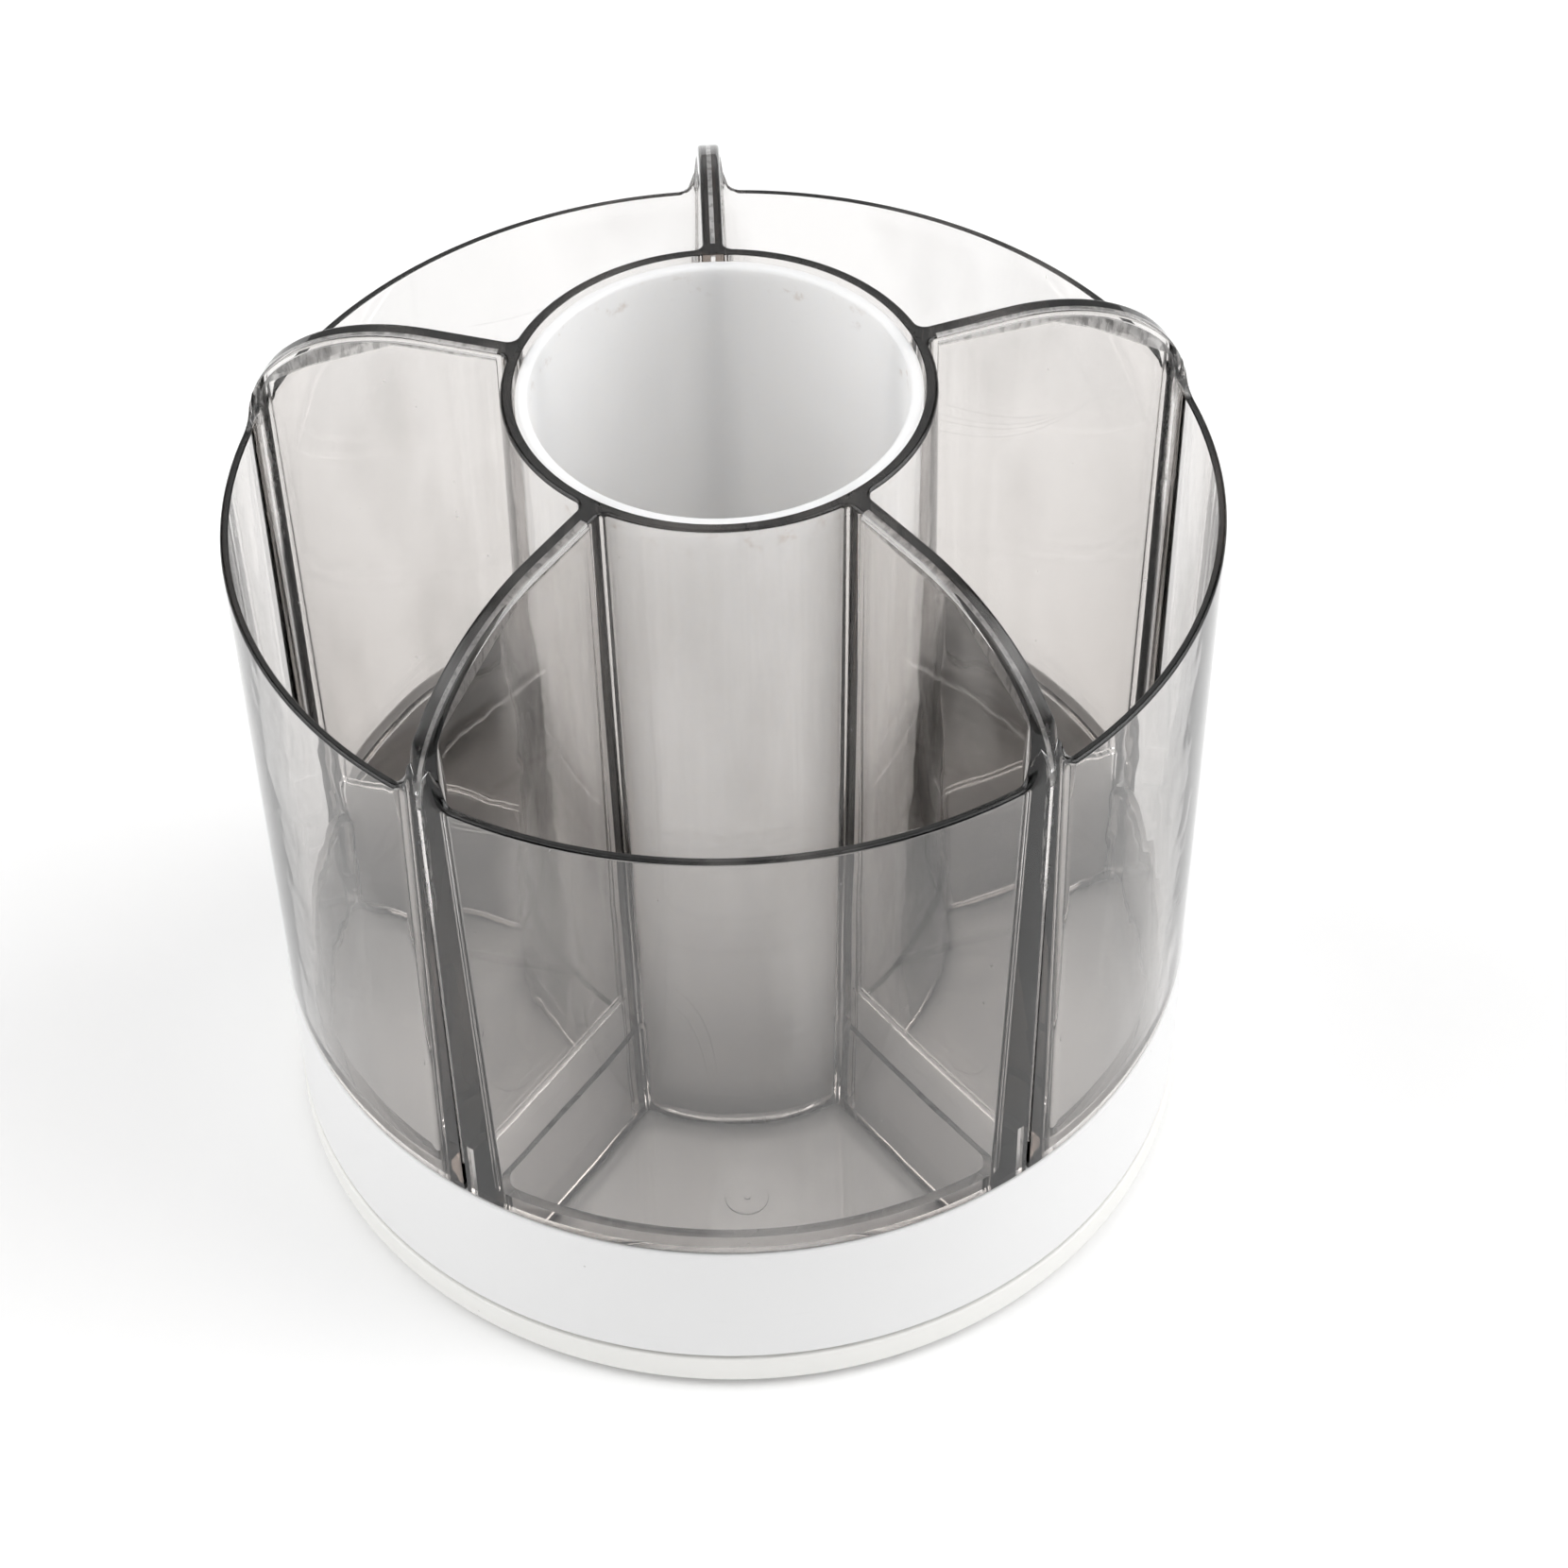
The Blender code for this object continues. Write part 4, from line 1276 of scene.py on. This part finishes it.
    def gate_marks(self) -> list[BMesh]:
        """The small round scar that the mould's gate leaves on each compartment floor."""
        corners = [Corner(radius, self.floor_top + rise, soft) for radius, rise, soft in self.gate_section]
        marks = []
        for angle in self.divider_angles():
            mark = turned(corners, False, self.gate_facets, self.gate_steps)
            marks.append(moved(mark, polar(self.gate_circle, angle + self.half_angle)))
        return marks

    def divider_angles(self) -> list[float]:
        """Angle of each divider about Z."""
        return [self.first_divider + math.tau * i / self.compartments for i in range(self.compartments)]

    def mark(self, mesh: Mesh) -> None:
        """Store for the finish how high the crest is, which faces stand upright and which way they look.

        Args:
            mesh: The finished moulding.
        """
        crests = [self.crest(math.hypot(*vertex.co.xy)) for vertex in mesh.vertices]
        uprights = [float(abs(face.normal.z) < self.upright_limit) for face in mesh.polygons]
        sides = []
        for face in mesh.polygons:
            way = face.center.xy.normalized()
            outward, along = face.normal.xy.dot(way), face.normal.y * way.x - face.normal.x * way.y
            leading = outward if abs(outward) > abs(along) else along
            sides.append(self.wave_offset if leading > 0.0 else 0.0)
        for name, domain, values in (
            ("crest", "POINT", crests), ("upright", "FACE", uprights), ("side", "FACE", sides),
        ):
            mesh.attributes.new(name, "FLOAT", domain).data.foreach_set("value", values)

    def build(self) -> None:
        """Make the moulding and dress it."""
        steps = [(Cut.AWAY, self.slots()), (Cut.AWAY, self.fin_rooms()), (Cut.ON, self.gate_marks())]
        mesh = carved("holder_moulding", self.blank(), steps)
        self.mark(mesh)
        add_piece("holder_moulding", mesh, Stock.CLEAR, "holder", "clear_holder")


# White cup, tray and base


@dataclass
class CentreCup:
    """The white cup in the tube, standing on a foot ring."""

    wall: float = 0.0016
    draft: float = math.radians(0.35)
    floor_bottom: float = 0.0170
    foot_width: float = 0.0018
    inner_round: float = 0.0040
    rim_round: float = 0.0005
    edge_round: float = 0.0003
    gate_radius: float = 0.0012
    gate_height: float = 0.0001
    facets: int = 8
    steps: int = 192

    def section(self) -> list[Corner]:
        """Set out the cup's section.

        Returns:
            Its corners, from the middle of the inner floor, over the rim, to the middle underneath.
        """
        low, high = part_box("centre_cup")
        radius, rim, foot = high.x, high.z, low.z
        foot_radius = radius - (rim - foot) * math.tan(self.draft)
        floor = self.floor_bottom + self.wall
        gate, rise = self.gate_radius, self.gate_height
        inside = foot_radius - self.foot_width
        return [
            Corner(0.0, floor + rise),
            Corner(gate, floor + rise, rise / 4),
            Corner(gate + rise, floor, rise / 4),
            Corner(foot_radius - self.wall, floor, self.inner_round),
            Corner(radius - self.wall, rim, self.rim_round),
            Corner(radius, rim, self.rim_round),
            Corner(foot_radius, foot, self.edge_round),
            Corner(inside, foot, self.edge_round),
            Corner(inside, self.floor_bottom, self.edge_round),
            Corner(0.0, self.floor_bottom),
        ]

    def build(self) -> None:
        """Make the cup and dress it."""
        cup = turned(self.section(), False, self.facets, self.steps)
        add_piece("cup_moulding", cup, Stock.CUP, "cup", "centre_cup")


@dataclass
class TurningTray:
    """The white tray: a floor with a band round it and a fin for each divider slot."""

    compartments: int = 5
    first_divider: float = math.radians(90)
    band_top: float = 0.0293
    band_wall: float = 0.0020
    band_round: float = 0.0006
    edge_round: float = 0.0003
    inner_fillet: float = 0.0006
    underside: float = 0.0093
    floor_top: float = 0.0122
    recess_depth: float = 0.0012
    fin_width: float = 0.0010
    fin_inner: float = 0.03016
    fin_outer: float = 0.0595
    fin_root: float = 0.0005
    fin_edge: float = 0.00025
    bush_radius: float = 0.0060
    race_width: float = 0.0080
    clearance: float = 0.0003
    facets: int = 5
    steps: int = 240

    def section(self) -> list[Corner]:
        """Set out the tray's section.

        Returns:
            Its corners as a closed ring, from the band's top downwards.
        """
        low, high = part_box("tray")
        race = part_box("upper_race")[1].x
        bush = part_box("pivot_bush")[1].z
        hub = self.bush_radius + self.clearance
        recess_outer = race + self.clearance
        recess_inner = race - self.race_width - self.clearance
        recess = self.underside + self.recess_depth
        inside = high.x - self.band_wall
        edge = self.edge_round
        return [
            Corner(high.x, self.band_top, self.band_round),
            Corner(high.x, low.z, self.band_round),
            Corner(inside, low.z, edge),
            Corner(inside, self.underside, self.inner_fillet),
            Corner(recess_outer, self.underside, edge / 2),
            Corner(recess_outer, recess, edge / 4),
            Corner(recess_inner, recess, edge / 4),
            Corner(recess_inner, self.underside, edge / 2),
            Corner(hub, self.underside, edge),
            Corner(hub, bush, edge),
            Corner(inside, bush, self.inner_fillet),
            Corner(inside, self.band_top, edge),
        ]

    def fins(self) -> list[BMesh]:
        """Make the fins.

        Returns:
            The fins, rooted in the floor, with eased upper and upright edges.
        """
        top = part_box("tray")[1].z
        root = self.floor_top - self.fin_root
        inner, outer = self.fin_inner, self.fin_outer
        outline = [(inner, root), (outer, root), (outer, top), (inner, top)]
        made = []
        for i in range(self.compartments):
            angle = self.first_divider + math.tau * i / self.compartments
            fin = upright_plate(outline, self.fin_width, angle)
            free = []
            for edge in fin.edges:
                low, high = sorted(vert.co.z for vert in edge.verts)
                if low > top - WELD or high - low > self.fin_root:
                    free.append(edge)
            ease(fin, free, self.fin_edge)
            made.append(fin)
        return made

    def build(self) -> None:
        """Make the tray and dress it."""
        body = turned(self.section(), True, self.facets, self.steps)
        mesh = carved("tray_moulding", body, [(Cut.ON, self.fins())])
        add_piece("tray_moulding", mesh, Stock.TRAY, "turntable", "tray")


@dataclass
class BasePlate:
    """The white foot plate: a race recess and a pivot boss above, and pad recesses below."""

    edge_round: float = 0.0015
    upper_round: float = 0.0004
    boss_radius: float = 0.0040
    boss_round: float = 0.0004
    plate_top: float = 0.0061
    race_width: float = 0.0080
    recess_depth: float = 0.0012
    pad_recess: float = 0.0012
    screw_radius: float = 0.0015
    clearance: float = 0.0003
    small_round: float = 0.00015
    facets: int = 7
    steps: int = 240
    pad_steps: int = 64

    def section(self) -> list[Corner]:
        """Set out the plate's section.

        Returns:
            Its corners, from the bottom of the screw hole, over the plate, to the middle underneath.
        """
        low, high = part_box("base_plate")
        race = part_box("lower_race")[1].x
        screw_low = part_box("pivot_screw")[0].z - self.clearance
        hole = self.screw_radius + self.clearance
        floor = self.plate_top - self.recess_depth
        inner = race - self.race_width - self.clearance
        outer = race + self.clearance
        fine = self.small_round
        return [
            Corner(0.0, screw_low),
            Corner(hole, screw_low),
            Corner(hole, high.z, fine),
            Corner(self.boss_radius, high.z, self.boss_round),
            Corner(self.boss_radius, self.plate_top, self.boss_round),
            Corner(inner, self.plate_top, fine),
            Corner(inner, floor, fine),
            Corner(outer, floor, fine),
            Corner(outer, self.plate_top, fine),
            Corner(high.x, self.plate_top, self.upper_round),
            Corner(high.x, low.z, self.edge_round),
            Corner(0.0, low.z),
        ]

    def pad_rooms(self) -> list[BMesh]:
        """Make the cutters of the pads' recesses.

        Returns:
            One for each pad, wider at its mouth.
        """
        rooms = []
        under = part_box("base_plate")[0].z
        for pad in pad_nodes():
            centre, radius = over(pad)
            radius += self.clearance
            edge, top = self.small_round * 2, under + self.pad_recess
            section = [
                (0.0, under - radius), (radius + radius + edge, under - radius), (radius + edge, under),
                (radius, under + edge), (radius, top), (0.0, top),
            ]
            rooms.append(moved(spun(section, False, self.pad_steps), centre))
        return rooms

    def build(self) -> None:
        """Make the plate and dress it."""
        body = turned(self.section(), False, self.facets, self.steps)
        rotate(body, QUARTER / self.steps)
        mesh = carved("base_moulding", body, [(Cut.AWAY, self.pad_rooms())])
        add_piece("base_moulding", mesh, Stock.BASE, "base", "base_plate")


def pad_nodes() -> list[str]:
    """Names of the foot pads' nodes."""
    return [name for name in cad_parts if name.startswith("foot_pad_")]


@dataclass
class FootPads:
    """Soft pads with a rounded tread of rings."""

    tread: float = 0.00025
    rings: int = 3
    groove_share: float = 0.4
    edge_round: float = 0.0005
    facets: int = 4
    steps: int = 64

    def section(self, radius: float, top: float) -> list[Corner]:
        """Set out a pad's section.

        Args:
            radius: The pad's radius.
            top: Height of its top face.

        Returns:
            Its corners, from the middle of the tread to the middle of the top.
        """
        pitch = (radius - self.edge_round) / (self.rings + 1)
        crown, foot = self.tread / 3, self.tread / 4
        corners = [Corner(0.0, 0.0)]
        for i in range(1, self.rings + 1):
            inner, outer = pitch * i, pitch * (i + self.groove_share)
            corners += [
                Corner(inner, 0.0, crown), Corner(inner + self.tread / 2, self.tread, foot),
                Corner(outer, self.tread, foot), Corner(outer + self.tread / 2, 0.0, crown),
            ]
        return corners + [
            Corner(radius, 0.0, self.edge_round), Corner(radius, top, self.edge_round / 3), Corner(0.0, top),
        ]

    def build(self) -> None:
        """Make each pad and dress it."""
        for node in pad_nodes():
            centre, radius = over(node)
            pad = turned(self.section(radius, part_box(node)[1].z), False, self.facets, self.steps)
            add_piece(node.replace("foot_pad", "rubber_pad"), moved(pad, centre), Stock.PAD, "base", node)


# Bearing and pivot


@dataclass
class BallBearing:
    """Two grooved steel rings, a nylon cage and its balls."""

    balls: int = 12
    circle: float = 0.0450
    ball_radius: float = 0.0015
    race_width: float = 0.0080
    clearance: float = 0.0003
    edge: float = 0.0002
    cage_width: float = 0.0060
    cage_round: float = 0.0003
    race_facets: int = 3
    cage_facets: int = 4
    groove_steps: int = 16
    hole_steps: int = 40
    ball_steps: int = 24
    steps: int = 192

    def race(self, node: str, grooved_above: bool) -> list[Corner]:
        """Set out a race ring's section.

        Args:
            node: The race's node.
            grooved_above: Whether its groove is in its top face.

        Returns:
            Its corners as a closed ring.
        """
        low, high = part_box(node)
        outer, inner = high.x, high.x - self.race_width
        faced, flat = (high.z, low.z) if grooved_above else (low.z, high.z)
        centre = self.ball_height()
        reach = self.ball_radius + self.clearance
        spread = math.acos(abs(centre - faced) / reach)
        way = -1.0 if grooved_above else 1.0
        ends = ((outer, flat), (inner, flat), (inner, faced))
        corners = [Corner(radius, height, self.edge) for radius, height in ends]
        for i in range(self.groove_steps + 1):
            rise, along = polar(reach, between(-spread, spread, i / self.groove_steps))
            corners.append(Corner(self.circle + along, centre + way * rise))
        return corners + [Corner(outer, faced, self.edge)]

    def ball_height(self) -> float:
        """Height of the balls' centres."""
        low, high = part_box("ball_01")
        return (low.z + high.z) / 2

    def centres(self) -> list[Point]:
        """Centre of each ball, seen from above."""
        return [polar(self.circle, math.tau * i / self.balls) for i in range(self.balls)]

    def cage(self) -> Mesh:
        """Make the cage ring.

        Returns:
            Its mesh, with an eased hole round each ball.
        """
        low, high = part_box("ball_cage")
        outer, inner, soft = high.x, high.x - self.cage_width, self.cage_round
        corners = [
            Corner(outer, high.z, soft), Corner(outer, low.z, soft),
            Corner(inner, low.z, soft), Corner(inner, high.z, soft),
        ]
        ring = turned(corners, True, self.cage_facets, self.steps)
        rotate(ring, QUARTER / self.steps)
        reach, edge = self.ball_radius + self.clearance, self.edge
        section = [
            (0.0, low.z - reach), (reach + edge * 2, low.z - edge), (reach, low.z + edge),
            (reach, high.z - edge), (reach + edge * 2, high.z + edge), (0.0, high.z + reach),
        ]
        holes = [moved(spun(section, False, self.hole_steps), centre) for centre in self.centres()]
        return carved("bearing_cage", ring, [(Cut.AWAY, holes)])

    def ball(self) -> BMesh:
        """One ball at the origin, spun from half a circle."""
        radius, count = self.ball_radius, self.ball_steps
        half = [polar(radius, math.pi * (i / count - 0.5)) for i in range(1, count)]
        return spun([(0.0, -radius), *half, (0.0, radius)], False, count * 2)

    def build(self) -> None:
        """Make the rings, the cage and the balls and dress them."""
        for node, above, body in (("lower_race", True, "base"), ("upper_race", False, "turntable")):
            ring = turned(self.race(node, above), True, self.race_facets, self.steps)
            add_piece(node.replace("race", "ball_track"), ring, Stock.RACE, body, node)
        add_piece("bearing_cage", self.cage(), Stock.NYLON, "cage", "ball_cage")
        for i, centre in enumerate(self.centres(), start=1):
            ball = moved(self.ball(), centre, self.ball_height())
            add_piece(f"bearing_ball_{i:02d}", ball, Stock.BALL, "cage", f"ball_{i:02d}")


@dataclass
class Pivot:
    """The bush in the tray's hub, and the screw and washer that keep the tray on its boss."""

    boss_radius: float = 0.0040
    clearance: float = 0.0003
    bush_wall: float = 0.0017
    flange: float = 0.0010
    edge: float = 0.0002
    shank: float = 0.00125
    crest: float = 0.0015
    pitch: float = 0.0008
    ridge_share: float = 0.4
    head_height: float = 0.0021
    head_round: float = 0.0007
    point: float = 0.0012
    cross_length: float = 0.0040
    cross_width: float = 0.0008
    cross_depth: float = 0.0010
    cross_taper: float = 0.72
    ring_facets: int = 4
    screw_facets: int = 6
    thread_steps: int = 32
    steps: int = 64

    def bush(self) -> list[Corner]:
        """Section of the flanged bush as a closed ring."""
        low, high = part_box("pivot_bush")
        bore, soft = self.boss_radius + self.clearance, self.edge
        barrel, seat = bore + self.bush_wall, low.z + self.flange
        return [
            Corner(barrel, high.z, soft), Corner(barrel, seat), Corner(high.x, seat, soft),
            Corner(high.x, low.z, soft), Corner(bore, low.z, soft), Corner(bore, high.z, soft),
        ]

    def washer(self) -> list[Corner]:
        """Section of the punched washer: rounded above, sharp below."""
        low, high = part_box("retaining_washer")
        bore, soft, sharp = self.crest + self.clearance, self.edge * 1.5, self.edge / 4
        return [
            Corner(high.x, high.z, soft), Corner(high.x, low.z, sharp),
            Corner(bore, low.z, sharp), Corner(bore, high.z, soft),
        ]

    def screw(self) -> Mesh:
        """Make the screw.

        Returns:
            Its mesh: a pan head with a tapered cross recess, a shank, a point and a thread.
        """
        low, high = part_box("pivot_screw")
        under = high.z - self.head_height
        corners = [
            Corner(0.0, high.z), Corner(high.x, high.z, self.head_round), Corner(high.x, under, self.edge),
            Corner(self.shank, under, self.edge / 2), Corner(self.shank, low.z + self.point, self.edge),
            Corner(self.edge, low.z), Corner(0.0, low.z),
        ]
        body = turned(corners, False, self.screw_facets, self.steps)
        mesh = carved("screw_body", body, [(Cut.AWAY, [self.cross(high.z)])])
        whole = bmesh.new()
        whole.from_mesh(mesh)
        bpy.data.meshes.remove(mesh)
        return merged([whole, self.thread(under - self.pitch, low.z + self.pitch)], "pivot_fixing_screw")

    def cross(self, top: float) -> BMesh:
        """The cutter of the cross recess under a height, narrower at its foot."""
        long, wide = self.cross_length / 2, self.cross_width / 2
        arm = [Vector((wide, wide)), Vector((wide, long)), Vector((-wide, long))]
        ways = [Matrix.Rotation(QUARTER * i, 2) for i in range(4)]
        outline = [(*(way @ corner), top + self.cross_depth) for way in ways for corner in arm]
        return extruded(outline, (0.0, 0.0, -2.0 * self.cross_depth), self.cross_taper)

    def thread(self, start: float, end: float) -> BMesh:
        """Make the helical ridge round the shank.

        Args:
            start: Height of its upper end.
            end: The height that it falls towards.

        Returns:
            The closed ridge.
        """
        turns = int((start - end) / self.pitch)
        half = self.pitch * self.ridge_share
        root = self.shank - self.edge / 2
        bm = bmesh.new()
        section = ((root, start - half), (self.crest, start), (root, start + half))
        face = bm.faces.new([bm.verts.new((radius, 0.0, height)) for radius, height in section])
        fall = (0.0, 0.0, -self.pitch / self.thread_steps)
        bmesh.ops.spin(
            bm, geom=[face], cent=ORIGIN, axis=UP, angle=math.tau * turns, dvec=fall,
            steps=self.thread_steps * turns, use_merge=False, use_duplicate=False,
        )
        tidy(bm)
        return bm

    def build(self) -> None:
        """Make the bush, the washer and the screw and dress them."""
        bush = turned(self.bush(), True, self.ring_facets, self.steps)
        add_piece("hub_bush", bush, Stock.NYLON, "turntable", "pivot_bush")
        washer = turned(self.washer(), True, self.ring_facets, self.steps)
        add_piece("pivot_washer", washer, Stock.ZINC, "base", "retaining_washer")
        add_piece("pivot_fixing_screw", self.screw(), Stock.ZINC, "base", "pivot_screw")


# Studio


@dataclass(frozen=True)
class SoftBox:
    """A soft round light in a direction, with the angles where it starts and ends to fade, all in degrees."""

    azimuth: float
    elevation: float
    full: float
    edge: float
    strength: float

    def glow(self, sheet: NodeSheet, way: Sock) -> Sock:
        """Paint the light on the sky.

        Args:
            sheet: The world's sheet.
            way: The direction looked in.

        Returns:
            Its light from that direction.
        """
        across, up = polar(1.0, math.radians(self.elevation))
        middle = (*polar(across, math.radians(self.azimuth)), up)
        settings = {"operation": "DOT_PRODUCT"}
        dot = sheet.node("ShaderNodeVectorMath", settings, {"Vector": way, "Vector_001": middle})
        edge, full = math.cos(math.radians(self.edge)), math.cos(math.radians(self.full))
        return sheet.eased(Sock(sheet, dot.outputs["Value"]), edge, full) * self.strength


@dataclass
class Studio:
    """Floor, soft light and the camera at the photograph's angle."""

    target: tuple[float, float, float] = (0.0, 0.0, 0.0288)
    distance: float = 0.5408
    elevation: float = math.radians(47.64)
    azimuth: float = math.radians(-0.5)
    roll: float = -0.0309
    focal_pixels: float = 4025.0
    image_pixels: float = 1660.0
    middle_pixels: tuple[float, float] = (778.0, 952.0)
    sensor: float = 36.0
    floor_reach: float = 6.0
    floor_gap: float = 0.0001
    floor_tone: Rgba = (0.98, 0.98, 0.98, 1.0)
    horizon: float = 0.3
    horizon_fade: Point = (0.15, 0.4)
    overhead: float = 0.06
    bounces: int = 14
    soft_boxes: tuple[SoftBox, ...] = (
        SoftBox(-90.0, 30.0, 15.0, 35.0, 0.42),
        SoftBox(-90.0, 60.0, 12.0, 30.0, 0.5),
        SoftBox(0.0, 30.0, 15.0, 35.0, 2.6),
        SoftBox(0.0, 60.0, 12.0, 30.0, 1.8),
        SoftBox(90.0, 30.0, 15.0, 35.0, 0.5),
        SoftBox(90.0, 60.0, 12.0, 30.0, 0.45),
        SoftBox(180.0, 30.0, 15.0, 35.0, 2.0),
        SoftBox(180.0, 60.0, 12.0, 30.0, 1.4),
    )

    def build(self) -> None:
        """Set up everything round the object."""
        self.floor()
        self.world()
        self.camera()
        cycles = bpy.context.scene.cycles
        cycles.max_bounces = cycles.transmission_bounces = self.bounces
        cycles.blur_glossy = 0.0

    def floor(self) -> None:
        """A plain white floor under the foot pads."""
        bm = bmesh.new()
        bmesh.ops.create_grid(bm, x_segments=1, y_segments=1, size=self.floor_reach)
        mesh = bpy.data.meshes.new("floor")
        bm.to_mesh(mesh)
        bm.free()
        material = bpy.data.materials.new("floor_paper")
        material.use_nodes = True
        sheet = NodeSheet(material.node_tree)
        paper = sheet.node("ShaderNodeBsdfDiffuse", None, {"Color": self.floor_tone})
        sheet.node("ShaderNodeOutputMaterial", None, {"Surface": paper.outputs[0]})
        mesh.materials.append(material)
        floor = bpy.data.objects.new("floor", mesh)
        floor.location.z = -self.floor_gap
        bpy.context.scene.collection.objects.link(floor)

    def world(self) -> None:
        """A dim grey sky, paler near the horizon, with the soft boxes painted on."""
        world = bpy.data.worlds.new("studio")
        bpy.context.scene.world = world
        world.use_nodes = True
        sheet = NodeSheet(world.node_tree)
        way = Sock(sheet, sheet.node("ShaderNodeTexCoord").outputs["Generated"])
        _, _, up = sheet.parts(way)
        light = up.below(*self.horizon_fade) * self.horizon + self.overhead
        for box in self.soft_boxes:
            light = light + box.glow(sheet, way)
        background = sheet.node("ShaderNodeBackground", None, {"Color": light, "Strength": 1.0})
        sheet.node("ShaderNodeOutputWorld", None, {"Surface": background.outputs[0]})

    def camera(self) -> None:
        """The camera, with the lens, shift and roll that fit the photograph."""
        data = bpy.data.cameras.new("camera")
        data.sensor_width = self.sensor
        data.lens = self.focal_pixels / self.image_pixels * self.sensor
        centre = self.image_pixels / 2.0
        data.shift_x = (centre - self.middle_pixels[0]) / self.image_pixels
        data.shift_y = (self.middle_pixels[1] - centre) / self.image_pixels
        camera = bpy.data.objects.new("camera", data)
        back = Vector((
            math.sin(self.azimuth) * math.cos(self.elevation),
            -math.cos(self.azimuth) * math.cos(self.elevation),
            math.sin(self.elevation),
        ))
        camera.location = Vector(self.target) + back * self.distance
        level = back.to_track_quat("Z", "Y").to_matrix()
        camera.rotation_euler = (level @ Matrix.Rotation(self.roll, 3, "Z")).to_euler()
        bpy.context.scene.collection.objects.link(camera)
        bpy.context.scene.camera = camera


def main() -> None:
    """Build the studio and every piece."""
    logging.basicConfig(level=logging.INFO, format="%(message)s")
    bpy.context.scene.view_settings.view_transform = "Standard"
    Studio().build()
    for assembly in (ClearHolder, CentreCup, TurningTray, BasePlate, FootPads, BallBearing, Pivot):
        assembly().build()


if __name__ == "__main__":
    main()
